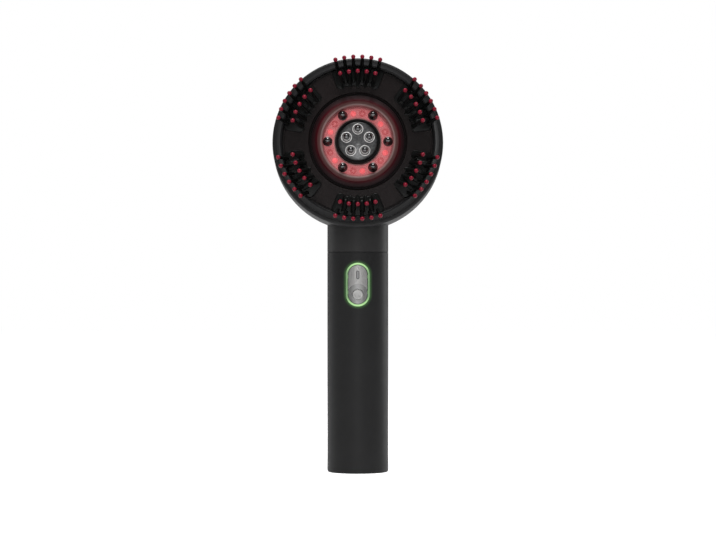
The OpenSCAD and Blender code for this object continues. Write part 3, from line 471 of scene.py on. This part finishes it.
front_bezel = make("front_bezel_ring", bezel_bm, "massager", "front_bezel")
satin_black = Finish("satin_black_plastic", (0.008, 0.008, 0.0085), 0.32)
satin_black.vary(0.1, 90)
satin_black.set("Specular IOR Level", 0.1)
satin_black.vary_rough(0.36, 0.46, 500)
satin_black.bump(satin_black.noise(3000, 2.0), 0.1, 0.00004)
dress(front_bezel, satin_black)

# ---- Smoked panel ----
# Dark clear plastic ring between bezel and hood, with a stepped outer edge and
# six openings that the comb pads stand in.
hood_in_r = 18.2 * mm
hood_out_r = 25.0 * mm
panel_in_r = hood_out_r + 0.2 * mm
panel_r = bezel_in_r - 0.15 * mm
pad_out_r = panel_r
tooth_r = 1.05 * mm
outer_row_r = pad_out_r - tooth_r - 0.3 * mm
inner_row_r = hood_out_r + 4.8 * mm
inner_teeth = 5
outer_teeth = 6
inner_step = 7.6
outer_step = 6.36
pad_half = 21.0
pad_angles = [90, 30, -30, -90, -150, 150]


def spoke(angle):
    """The head's frame turned about its axis, so that x points along an angle."""
    return head @ Matrix.Rotation(math.radians(angle), 4, "Z")


def pad_prism(grow, z_low, z_high, angle, bm=None):
    """A comb pad's outline, pulled up from one level to another. The inner edge
    has a lobe round each inner tooth and a pointed tab in the middle."""
    corner = 2 * mm
    lobe = 0.8 * mm
    tab = 0.9 * mm
    tab_half = 2.4
    steps = 8
    side = pad_half + math.degrees(grow / outer_row_r)
    r_out = pad_out_r + grow
    r_in = inner_row_r - tooth_r - lobe / 2
    reach = (inner_teeth - 1) / 2 * inner_step
    turn_out = math.degrees(math.asin(corner / (r_out - corner)))
    turn_in = math.degrees(math.asin(corner / (r_in + corner)))

    def polar(r, a):
        return r * math.cos(math.radians(a)), r * math.sin(math.radians(a))

    outline = bend(polar(r_in + corner, turn_in - side), corner, 180 - side + turn_in, 270 - side, 5)
    outline += bend(polar(r_out - corner, turn_out - side), corner, -90 - side, turn_out - side, 5)
    outline += bend((0, 0), r_out, 2 * turn_out - side, side - 2 * turn_out, 16)
    outline += bend(polar(r_out - corner, side - turn_out), corner, side - turn_out, 90 + side, 5)
    outline += bend(polar(r_in + corner, side - turn_in), corner, 90 + side, 180 + side - turn_in, 5)
    for i in range((inner_teeth - 1) * steps, -1, -1):
        a = i * inner_step / steps - reach
        dip = lobe * abs(math.sin(math.pi * i / steps)) - tab * max(0, 1 - abs(a) / tab_half)
        outline.append(polar(r_in - grow + dip, a))
    bm = bm or bmesh.new()
    face = bm.faces.new([bm.verts.new((x, y, z_low)) for x, y in outline])
    rim = pull(bm, [face], (0, 0, z_high - z_low))
    made = set(face.verts) | set(rim)
    bmesh.ops.transform(bm, matrix=spoke(angle), verts=list(made))
    bmesh.ops.recalc_face_normals(bm, faces=[f for f in bm.faces if f.verts[0] in made])
    return bm, rim


panel_bm = turn([(panel_in_r, panel_foot), (panel_r, panel_foot), (panel_r, face_z - 0.8 * mm),
                 (panel_r - 0.9 * mm, face_z - 0.8 * mm), (panel_r - 1.1 * mm, face_z),
                 (panel_in_r + 0.3 * mm, face_z), (panel_in_r, face_z - 0.3 * mm)], 192, head)
smoked_panel = make("smoked_panel_clear", panel_bm, "massager", "smoked_panel")
for angle in pad_angles:
    opening, _ = pad_prism(0.15 * mm, panel_foot - 1 * mm, face_z + 1 * mm, angle)
    carve(smoked_panel, opening)
smoked = Finish("smoked_clear_plastic", (0.0085, 0.0062, 0.0062), 0.22)
smoked.vary(0.12, 40)
smoked.set("Specular IOR Level", 0.35)
smoked.vary_rough(0.18, 0.28, 260)
smoked.bump(smoked.noise(1800, 2.0), 0.05, 0.00003)
dress(smoked_panel, smoked)

# ---- Stepped hood ----
# Dark red clear moulding round the light window. Its colour is painted in rings
# by radius: the red light that its rim and two outward steps catch is painted on,
# with a pale painted highlight at the rim and painted shade darkening outward to a
# black groove beside the panel.
hood_rim_z = face_z + 1.1 * mm
step_r = hood_in_r + 2.9 * mm
slope_r = hood_in_r + 5.65 * mm
window_foot = 1.8 * mm
window_top = 3.0 * mm
hood_bm = turn(
    [(hood_in_r - 0.8 * mm, carrier_top), (hood_out_r + 1.8 * mm, carrier_top),
     (hood_out_r + 1.8 * mm, panel_foot), (hood_out_r, panel_foot), (hood_out_r, face_z + 0.1 * mm),
     (hood_out_r - 0.3 * mm, face_z + 0.1 * mm), (hood_out_r - 0.3 * mm, face_z - 0.7 * mm),
     (slope_r, face_z - 0.7 * mm), (slope_r - 0.1 * mm, face_z - 0.15 * mm),
     (slope_r - 0.4 * mm, face_z + 0.05 * mm),
     (step_r + 0.35 * mm, hood_rim_z - 0.78 * mm), (step_r + 0.15 * mm, hood_rim_z - 0.6 * mm),
     (step_r, hood_rim_z - 0.35 * mm), (hood_in_r + 1.0 * mm, hood_rim_z - 0.05 * mm),
     (hood_in_r + 0.75 * mm, hood_rim_z), (hood_in_r + 0.5 * mm, hood_rim_z - 0.04 * mm),
     (hood_in_r + 0.1 * mm, hood_rim_z - 0.4 * mm), (hood_in_r, hood_rim_z - 0.7 * mm),
     (hood_in_r, window_foot), (hood_in_r - 0.8 * mm, window_foot)], 192, head)
light_hood = make("light_hood_stepped", hood_bm, "massager", "light_hood", sharp=35)


def head_radius(finish, low, high):
    """How far out from the head's axis a point lies, 0 to 1 between two radii."""
    offset = finish.vector("SUBTRACT", finish.place, head_centre)
    across = finish.vector("DOT_PRODUCT", offset, (1, 0, 0))
    upward = finish.vector("DOT_PRODUCT", offset, head_up)
    across, upward = (finish.math("MULTIPLY", side, side) for side in (across, upward))
    out = finish.math("SQRT", finish.math("ADD", across, upward))
    return finish.span(out, From_Min=low, From_Max=high)


hood_red = Finish("dark_red_clear_hood", (0.04, 0.012, 0.013), 0.25)
hood_red.set("Base Color", hood_red.ramp(head_radius(hood_red, hood_in_r, hood_out_r), [
    (0.0, (0.24, 0.1, 0.1)), (0.12, (0.16, 0.11, 0.105)), (0.2, (0.07, 0.034, 0.032)),
    (0.36, (0.055, 0.02, 0.02)), (0.43, (0.045, 0.003, 0.006)), (0.52, (0.03, 0.003, 0.005)),
    (0.62, (0.018, 0.006, 0.007)), (0.8, (0.01, 0.004, 0.005)), (0.88, (0.003, 0.002, 0.002))]))
hood_red.vary_rough(0.34, 0.42, 300)
hood_red.set("Specular IOR Level", 0.1)
dress(light_hood, hood_red)

# ---- Lights and their window ----
# Six domed red lights and six small cans with a lens, soldered on a ring-shaped
# board, under a frosted clear ring that spreads their light.
neck_r = 11.4 * mm
window_in_r = neck_r + 0.15 * mm
window_out_r = hood_in_r - 0.1 * mm
window_bevel = 0.2 * mm
window_bm = turn([(window_in_r, window_foot), (window_out_r, window_foot),
                  (window_out_r, window_top - window_bevel), (window_out_r - window_bevel, window_top),
                  (window_in_r + window_bevel, window_top), (window_in_r, window_top - window_bevel)],
                 160, head)
led_window = make("led_window_ring", window_bm, "massager", "led_window")
frosted = Finish("frosted_red_window", (0.5, 0.2, 0.2), 0.3)
# Painted light: the window's glow stands in for the lights' red light spreading through it. Towards the
# inner edge by the neck the glow fades out and the colour is painted darker, as painted shade.
window_edge = head_radius(frosted, window_in_r + 0.3 * mm, window_in_r + 1.5 * mm)
frosted.set("Base Color", frosted.ramp(window_edge, [
    (0.0, (0.16, 0.1, 0.095)), (1.0, (0.5, 0.2, 0.2))]))
frosted.vary_rough(0.25, 0.38, 600)
frosted.set("Alpha", frosted.ramp(window_edge, [
    (0.0, (0.75, 0.75, 0.75)), (1.0, (0.22, 0.22, 0.22))]))
frosted.glow((1.0, 0.24, 0.26), frosted.math("MULTIPLY", window_edge, 0.3))
dress(led_window, frosted)

board_red = Finish("lit_light_board", (0.22, 0.1, 0.1), 0.5)
board_red.vary(0.06, 350)
# Painted glow: the board glows red, standing in for the lights' red light falling on it.
board_red.glow((1.0, 0.2, 0.22), 0.27)
dress(nodes["led_board"], board_red)

led_lit = Finish("lit_red_light", (0.9, 0.1, 0.12), 0.25)
led_lit.vary(0.08, 900)
led_lit.glow((1.0, 0.1, 0.12), 0.5)
dress(nodes["spot_leds"], led_lit)
can_red = Finish("dark_red_light_can", (0.22, 0.008, 0.012), 0.4)
can_red.vary(0.1, 700)
can_red.set("Specular IOR Level", 0.2)
can_red.glow((1.0, 0.05, 0.07), 0.16)
can_lens = Finish("bright_can_lens", (0.5, 0.14, 0.14), 0.2)
can_lens.vary(0.05, 900)
can_lens.glow((1.0, 0.25, 0.27), 0.24)
dress(nodes["ring_leds"], can_red, can_lens)
lens_r = 0.62 * mm
led_pitch_r = neck_r + 3.7 * mm
can_angles = [60 * i + 21 for i in range(6)]
to_head = head.inverted()


def nearest_on_ring(point, ring_r, angles):
    """How far a point of the head's face is from the nearest of some centres on a ring."""
    centres = [Matrix.Rotation(math.radians(a), 2) @ Vector((ring_r, 0)) for a in angles]
    return min((point.xy - centre).length for centre in centres)


for face in nodes["ring_leds"].data.polygons:
    off = nearest_on_ring(to_head @ face.center, led_pitch_r, can_angles)
    face.material_index = int(off < lens_r)

# ---- Contact pins ----
# Six turned pins with polished ball ends, blackened, each in a conical black
# collar that is pressed onto the light window.
pin_pitch_r = neck_r + 4.1 * mm
pin_ball_r = 1.45 * mm
pin_rise = 5.3 * mm
pin_ball_z = window_top + pin_rise
pin_angles = [0, 60, 120, 180, 240, 300]
collar_bm = bmesh.new()
pin_bm = bmesh.new()
for angle in pin_angles:
    place = spoke(angle) @ Matrix.Translation((pin_pitch_r, 0, 0))
    turn([(1.05 * mm, window_top), (2.5 * mm, window_top), (2.5 * mm, window_top + 0.45 * mm),
          (2.42 * mm, window_top + 0.58 * mm), (2.2 * mm, window_top + 0.7 * mm),
          (1.68 * mm, pin_ball_z - 2.1 * mm), (1.6 * mm, pin_ball_z - 2.0 * mm),
          (1.05 * mm, pin_ball_z - 2.0 * mm)], 40, place, collar_bm)
    turn([(0, -0.9 * mm), (1.0 * mm, -0.9 * mm), (1.0 * mm, pin_ball_z - 2.05 * mm),
          (1.42 * mm, pin_ball_z - 2.0 * mm), (1.5 * mm, pin_ball_z - 1.9 * mm),
          (1.28 * mm, pin_ball_z - 1.2 * mm), (0.75 * mm, pin_ball_z - 1.15 * mm)]
         + bend((0, pin_ball_z), pin_ball_r, -56, 90, 14), 40, place, pin_bm)
pin_collars = make("pin_collar_cones", collar_bm, "massager", "pin_collars")
contact_pins = make("contact_pin_set", pin_bm, "massager", "contact_pins")
glossy_black = Finish("glossy_black_plastic", (0.005, 0.005, 0.0055), 0.12)
glossy_black.vary(0.1, 300)
glossy_black.vary_rough(0.1, 0.16, 700)
dress(pin_collars, glossy_black)
black_chrome = Finish("black_chrome", (0.12, 0.12, 0.122), 0.1, 1.0)
black_chrome.vary(0.08, 500)
black_chrome.vary_rough(0.1, 0.16, 900)
dress(contact_pins, black_chrome)

# ---- Nozzle plate, spouts and roller balls ----
# Satin steel lid of the oil tank with a raised middle, painted darker towards its
# edge as painted shade. Five turned spouts with a raised rim stand on it, each
# holding a dark steel roller ball; the rims, and the cone under each ball, are
# painted near white as a painted highlight.
plate_r = 10.2 * mm
plate_top = face_z + 0.5 * mm
plate_t = 1.6 * mm
lid_foot = plate_top - plate_t
boss_r = 2.5 * mm
skirt_out = 8.85 * mm
lid_bm = turn(
    [(0, lid_foot), (skirt_out - 1.5 * mm, lid_foot), (skirt_out - 1.5 * mm, 0), (skirt_out, 0),
     (skirt_out, lid_foot), (plate_r, lid_foot), (plate_r, plate_top - 0.7 * mm),
     (plate_r - 0.12 * mm, plate_top - 0.5 * mm), (plate_r - 0.6 * mm, plate_top - 0.06 * mm),
     (plate_r - 0.8 * mm, plate_top), (boss_r + 0.3 * mm, plate_top),
     (boss_r + 0.12 * mm, plate_top + 0.08 * mm), (boss_r, plate_top + 0.26 * mm),
     (boss_r - 0.15 * mm, plate_top + 0.3 * mm), (0, plate_top + 0.3 * mm)], 160)
lug_low = 0.1 * mm
lug_high = 1.5 * mm
lug_in_r = skirt_out - 0.5 * mm
lug_out_r = 9.6 * mm
lug_span = 26
for i in range(3):
    corners = [(lug_in_r, lug_low), (lug_out_r, lug_low), (lug_out_r, lug_high), (lug_in_r, lug_high)]
    lug = lid_bm.faces.new([lid_bm.verts.new((r, 0, z)) for r, z in corners])
    start = Matrix.Rotation(math.radians(120 * i - lug_span / 2), 3, "Z")
    bmesh.ops.rotate(lid_bm, verts=lug.verts, cent=(0, 0, 0), matrix=start)
    bmesh.ops.spin(lid_bm, geom=[lug] + list(lug.edges) + list(lug.verts), cent=(0, 0, 0), axis=(0, 0, 1),
                   angle=math.radians(lug_span), steps=8)
bmesh.ops.transform(lid_bm, matrix=head, verts=lid_bm.verts)
nozzle_plate = make("nozzle_plate_lid", lid_bm, "nozzle_cap", "nozzle_plate")

ball_r = 1.4 * mm
ball_z = plate_top + 3.0 * mm
nozzle_pitch_r = 6.15 * mm
nozzle_angles = [90 + 72 * i for i in range(5)]
socket_r = ball_r + 0.05 * mm
socket_rise = 0.45 * mm
socket_low = math.degrees(math.acos(0.6 * mm / socket_r))
dark_steel = Finish("dark_polished_steel", (0.14, 0.14, 0.143), 0.12, 1.0)
dark_steel.vary(0.1, 800)
dark_steel.vary_rough(0.1, 0.16, 1500)
spout_bm = bmesh.new()
for number, angle in enumerate(nozzle_angles, 1):
    place = spoke(angle) @ Matrix.Translation((nozzle_pitch_r, 0, 0))
    turn([(0.6 * mm, lid_foot), (1.45 * mm, lid_foot), (1.45 * mm, plate_top), (2.8 * mm, plate_top),
          (2.8 * mm, plate_top + 0.42 * mm), (2.72 * mm, plate_top + 0.53 * mm),
          (2.6 * mm, plate_top + 0.56 * mm), (2.48 * mm, plate_top + 0.53 * mm),
          (2.4 * mm, plate_top + 0.4 * mm), (2.34 * mm, plate_top + 0.25 * mm),
          (2.1 * mm, plate_top + 0.25 * mm), (1.95 * mm, plate_top + 0.9 * mm),
          (1.74 * mm, ball_z - 0.6 * mm), (1.7 * mm, ball_z - 0.4 * mm),
          (1.7 * mm, ball_z + 0.1 * mm), (1.62 * mm, ball_z + 0.25 * mm)]
         + bend((0, ball_z), socket_r, math.degrees(math.asin(socket_rise / socket_r)), -socket_low, 8), 48,
         place, spout_bm)
    ball_bm = turn(bend((0, ball_z), ball_r, -90, 90, 18), 36, place)
    ball = make(f"roller_ball_{number}", ball_bm, f"roller_{number}", f"nozzle_ball_{number}")
    dress(ball, dark_steel)
nozzle_spouts = make("nozzle_spout_set", spout_bm, "nozzle_cap", "nozzle_spouts")

satin_steel = Finish("satin_steel_lid", (0.12, 0.12, 0.122), 0.3, 0.6)
# Painted shade: the lid is painted darker towards its outer edge.
lid_edge_shade = head_radius(satin_steel, plate_r - 2.2 * mm, plate_r - 0.2 * mm)
mottle = satin_steel.span(satin_steel.noise(900, 4.0), From_Min=0.3, From_Max=0.7, To_Min=0.6, To_Max=1.4)
lid_colour = satin_steel.ramp(lid_edge_shade, [(0.0, (0.12, 0.12, 0.122)), (1.0, (0.03, 0.03, 0.031))])
satin_steel.set("Base Color", satin_steel.vector("SCALE", lid_colour, mottle))
satin_steel.vary_rough(0.22, 0.42, 1400)
satin_steel.bump(satin_steel.noise(2600, 3.0), 0.2, 0.00006)
dress(nozzle_plate, satin_steel)
# Painted highlight: a near-white finish standing in for the light that the spouts' rims and the cones under
# the balls reflect.
rim_highlight = Finish("painted_rim_highlight", (0.86, 0.84, 0.83), 0.3, 0.35)
rim_highlight.vary(0.04, 700)
rim_highlight.vary_rough(0.26, 0.36, 1100)
dress(nozzle_spouts, satin_steel, rim_highlight)
rim_from = 2.36 * mm
cone_from, cone_to = 1.72 * mm, 1.96 * mm
# Rims and the cone under each ball get the painted highlight.
for face in nozzle_spouts.data.polygons:
    centre = to_head @ face.center
    off = nearest_on_ring(centre, nozzle_pitch_r, nozzle_angles)
    cone = cone_from < off < cone_to and plate_top + 0.9 * mm < centre.z < ball_z - 0.6 * mm
    if cone or (off > rim_from and centre.z > plate_top + 0.2 * mm):
        face.material_index = 1

# ---- Comb pads ----
# Six black silicone pads with a lobed inner edge, a lip at the rim, half-round
# ridges between the teeth and eleven teeth each that lean outward. A hard red
# ball is moulded onto the end of every tooth.
pad_top = face_z + 0.5 * mm
tooth_lean = 20.8
tooth_len = 11.7 * mm / math.cos(math.radians(tooth_lean))
tip_r = 1.1 * mm
tooth_end_r = 0.75 * tip_r
tip_drop = math.sqrt(tip_r ** 2 - tooth_end_r ** 2)
tooth_end = tooth_len - tip_drop
ridge_r = 1.35 * mm
rows = [(inner_teeth, inner_step, inner_row_r), (outer_teeth, outer_step, outer_row_r)]

silicone = Finish("black_silicone", (0.0035, 0.0038, 0.0036), 0.34)
silicone.vary(0.12, 120)
silicone.set("Specular IOR Level", 0.15)
silicone.vary_rough(0.28, 0.42, 420)
silicone.bump(silicone.noise(2400, 2.0), 0.1, 0.00004)
# Painted highlight: the half-round ridges are painted lighter than the black silicone they are moulded
# from.
ridge_highlight = Finish("ridge_silicone_painted_highlight", (0.028, 0.034, 0.031), 0.6)
ridge_highlight.vary(0.12, 160)
ridge_highlight.set("Specular IOR Level", 0.15)
ridge_highlight.bump(ridge_highlight.noise(2400, 2.0), 0.1, 0.00004)
red_ball = Finish("hard_red_ball", (0.16, 0.005, 0.017), 0.3)
red_ball.vary(0.1, 900)
red_ball.vary_rough(0.26, 0.36, 1300)
red_ball.set("Specular IOR Level", 0.18)

for number, angle in enumerate(pad_angles, 1):
    pad_bm, rim = pad_prism(0, carrier_top, pad_top, angle)
    top_edges = [e for e in pad_bm.edges if all(v in rim for v in e.verts)]
    bmesh.ops.bevel(pad_bm, geom=top_edges, offset=0.3 * mm, segments=3, affect="EDGES",
                    profile=0.5, material=-1)
    for k in range(inner_teeth - 1):
        lane = spoke(angle + (k - (inner_teeth - 2) / 2) * inner_step)
        along = lane @ Matrix.Translation((inner_row_r + 0.7 * mm, 0, pad_top - 0.25 * mm)) \
            @ Matrix.Rotation(math.radians(90), 4, "Y")
        length = pad_out_r - inner_row_r - 2.0 * mm
        before = set(pad_bm.faces)
        turn([(0, 0)] + bend((0, ridge_r), ridge_r, -70, 0, 5)
             + [(ridge_r, length - 0.3 * mm), (ridge_r - 0.3 * mm, length), (0, length)], 28, along, pad_bm)
        # The ridges take the painted highlight.
        for face in set(pad_bm.faces) - before:
            face.material_index = 1
    tips_bm = bmesh.new()
    for count, step, row_r in rows:
        for i in range(count):
            place = spoke(angle + (i - (count - 1) / 2) * step) @ Matrix.Translation((row_r, 0, pad_top)) \
                @ Matrix.Rotation(math.radians(tooth_lean), 4, "Y")
            turn([(0, -0.5 * mm), (tooth_r, -0.5 * mm), (tooth_r, 0.4 * mm), (tooth_r * 0.98, 2 * mm),
                  (tooth_end_r, tooth_end), (0, tooth_end)], 24, place, pad_bm)
            turn([(0, tooth_end), (tooth_end_r, tooth_end)]
                 + bend((0, tooth_len), tip_r, -48, 90, 10), 24, place, tips_bm)
    pad = make(f"comb_pad_silicone_{number}", pad_bm, "massager", f"comb_pad_{number}", sharp=40)
    dress(pad, silicone, ridge_highlight)
    tips = make(f"comb_ball_tips_{number}", tips_bm, "massager", f"comb_tips_{number}", sharp=50)
    dress(tips, red_ball)

# ---- Inside pieces ----
# What the casing holds: plug and socket in the foot, chassis with cell and
# boards, switch parts, motor with its weight, carrier, tank and screws. They
# keep their CAD shape, each in the finish of its own stuff.
hidden_black = Finish("moulded_black_nylon", (0.0045, 0.004, 0.0042), 0.45)
hidden_black.vary(0.15, 150)
hidden_black.set("Specular IOR Level", 0.12)
hidden_black.bump(hidden_black.noise(2500), 0.15, 0.00005)
for name in ("base_cap", "switch_frame", "tact_switch", "tank_cover"):
    dress(nodes[name], hidden_black)

dark_grey = Finish("moulded_grey_nylon", (0.06, 0.06, 0.063), 0.45)
dark_grey.vary(0.12, 180)
dark_grey.bump(dark_grey.noise(2200), 0.15, 0.00005)
for name in ("chassis", "head_carrier"):
    dress(nodes[name], dark_grey)

rubber = Finish("soft_black_rubber", (0.018, 0.018, 0.018), 0.7)
rubber.vary(0.2, 260)
rubber.bump(rubber.noise(1800, 3.0), 0.25, 0.00008)
dress(nodes["motor_mount"], rubber)

plated = Finish("bright_zinc_plating", (0.6, 0.61, 0.62), 0.25, 1.0)
plated.vary(0.08, 600)
plated.vary_rough(0.2, 0.34, 900)
for name in ("charge_port", "board_screws", "head_screws", "tank_screws", "vibration_motor", "motor_shaft"):
    dress(nodes[name], plated)

sintered = Finish("sintered_weight_alloy", (0.22, 0.2, 0.18), 0.45, 1.0)
sintered.vary(0.15, 900)
sintered.bump(sintered.noise(3500, 3.0), 0.3, 0.00006)
dress(nodes["eccentric_weight"], sintered)

solder_mask = Finish("green_solder_mask", (0.012, 0.085, 0.04), 0.3)
solder_mask.vary(0.15, 500)
solder_mask.bump(solder_mask.noise(1500), 0.1, 0.00004)
for name in ("control_board", "charge_board"):
    dress(nodes[name], solder_mask)

cell_sleeve = Finish("blue_cell_sleeve", (0.02, 0.075, 0.24), 0.3)
cell_sleeve.vary(0.08, 80)
cell_sleeve.bump(cell_sleeve.noise(900), 0.08, 0.00006)
dress(nodes["battery"], cell_sleeve)

green_chip = Finish("green_light_chip", (0.4, 0.85, 0.3), 0.3)
green_chip.vary(0.05, 900)
green_chip.glow((0.3, 1.0, 0.2), 0.1)
dress(nodes["status_leds"], green_chip)

acetal = Finish("natural_acetal", (0.7, 0.63, 0.45), 0.4)
acetal.vary(0.05, 400)
dress(nodes["switch_plunger"], acetal)

tank_clear = Finish("cloudy_tank_plastic", (0.55, 0.58, 0.6), 0.3)
tank_clear.vary(0.06, 120)
tank_clear.bump(tank_clear.noise(900), 0.08, 0.00006)
dress(nodes["oil_tank"], tank_clear)

seal_red = Finish("red_seal_rubber", (0.35, 0.03, 0.025), 0.6)
seal_red.vary(0.1, 500)
dress(nodes["cap_seal"], seal_red)

# ---- Studio ----
# White backdrop and floor, an even soft light all round and five soft lamps: one
# above, a fill that mirrors don't show, one low in front and two behind at the
# sides. The camera stands level in front of the handle's middle.
pixel = 0.52 * mm
photo_width = 716
camera_distance = 1.295
camera = bpy.data.cameras.new("photo_camera")
camera.sensor_width = 36
camera.lens = camera.sensor_width * camera_distance / (photo_width * pixel)
camera.clip_start = 0.01
camera_object = bpy.data.objects.new("photo_camera", camera)
camera_object.location = (0.0001, -camera_distance, 0.1048)
camera_object.rotation_euler = (math.radians(90), 0, 0)
bpy.context.collection.objects.link(camera_object)
bpy.context.scene.camera = camera_object
bpy.context.scene.view_settings.view_transform = "Standard"

world = bpy.data.worlds.new("white_studio")
bpy.context.scene.world = world
world.use_nodes = True
tree = world.node_tree
background = tree.nodes["Background"]
rays = tree.nodes.new("ShaderNodeLightPath")
direction = tree.nodes.new("ShaderNodeTexCoord")
split = tree.nodes.new("ShaderNodeSeparateXYZ")
tree.links.new(direction.outputs["Generated"], split.inputs[0])


def world_math(operation, a, b=0.0):
    made = tree.nodes.new("ShaderNodeMath")
    made.operation = operation
    for socket, value in zip(made.inputs, (a, b)):
        if isinstance(value, bpy.types.NodeSocket):
            tree.links.new(value, socket)
        else:
            socket.default_value = value
    return made.outputs["Value"]


def world_mix(a, b, factor):
    """a where the factor is 0, b where it is 1."""
    return world_math("ADD", world_math("MULTIPLY", a, world_math("SUBTRACT", 1.0, factor)),
                      world_math("MULTIPLY", b, factor))


ambient = 0.3
room = 0.07
ceiling = 0.15
backdrop_slope = 0.25
backdrop_most = 0.16
behind = world_math("MAXIMUM", world_math("MULTIPLY", split.outputs["Y"], backdrop_slope), 0.0)
backdrop = world_math("MINIMUM", behind, backdrop_most)
above = world_math("MULTIPLY", world_math("MAXIMUM", split.outputs["Z"], 0.0), ceiling)
reflected = world_math("ADD", room, world_math("ADD", above, backdrop))
strength = world_mix(ambient, reflected, rays.outputs["Is Glossy Ray"])
strength = world_mix(strength, 1.0, rays.outputs["Is Transmission Ray"])
strength = world_mix(strength, 1.0, rays.outputs["Is Camera Ray"])
tree.links.new(strength, background.inputs["Strength"])
background.inputs["Color"].default_value = (1, 1, 1, 1)


def soft_box(name, place, target, width, height, power, mirrored=True):
    """A square lamp that faces a point."""
    lamp = bpy.data.lights.new(name, "AREA")
    lamp.shape = "RECTANGLE"
    lamp.size = width
    lamp.size_y = height
    lamp.energy = power
    lamp_object = bpy.data.objects.new(name, lamp)
    lamp_object.location = place
    lamp_object.rotation_euler = (Vector(target) - Vector(place)).to_track_quat("-Z", "Y").to_euler()
    lamp_object.visible_camera = False
    lamp_object.visible_glossy = mirrored
    bpy.context.collection.objects.link(lamp_object)


soft_box("top_box", (0.0, -0.28, 1.1), (0, 0, 0.15), 0.5, 0.42, 10.0)
soft_box("front_fill", (0.0, -0.85, 0.95), (0, 0, 0.15), 0.7, 0.3, 5.0, False)
soft_box("left_box", (-0.9, 0.55, 0.15), (0, 0, 0.1), 0.3, 0.7, 0.8)
soft_box("right_box", (0.9, 0.65, 0.15), (0, 0, 0.1), 0.3, 0.7, 2.2)
soft_box("front_strip", (0.0, -1.6, 0.06), (0, 0, 0.1), 0.4, 0.4, 3.0)

floor_bm = bmesh.new()
bmesh.ops.create_grid(floor_bm, x_segments=1, y_segments=1, size=3.0)
bmesh.ops.translate(floor_bm, verts=floor_bm.verts, vec=(0, 0, cad_box[0][2] - 0.05 * mm))
floor_mesh = bpy.data.meshes.new("studio_floor")
floor_bm.to_mesh(floor_mesh)
floor_bm.free()
floor = bpy.data.objects.new("studio_floor", floor_mesh)
bpy.context.collection.objects.link(floor)
floor_white = Finish("studio_white", (0.8, 0.8, 0.8), 0.8)
floor_rays = floor_white.add("ShaderNodeLightPath")
mirrored_floor = floor_white.math("MULTIPLY", floor_rays.outputs["Is Glossy Ray"], 0.4)
seen = floor_white.math("MAXIMUM", floor_rays.outputs["Is Camera Ray"], mirrored_floor)
seen = floor_white.math("MAXIMUM", seen, floor_rays.outputs["Is Transmission Ray"])
floor_white.glow((1, 1, 1), floor_white.math("MULTIPLY", seen, 0.75))
dress(floor, floor_white)
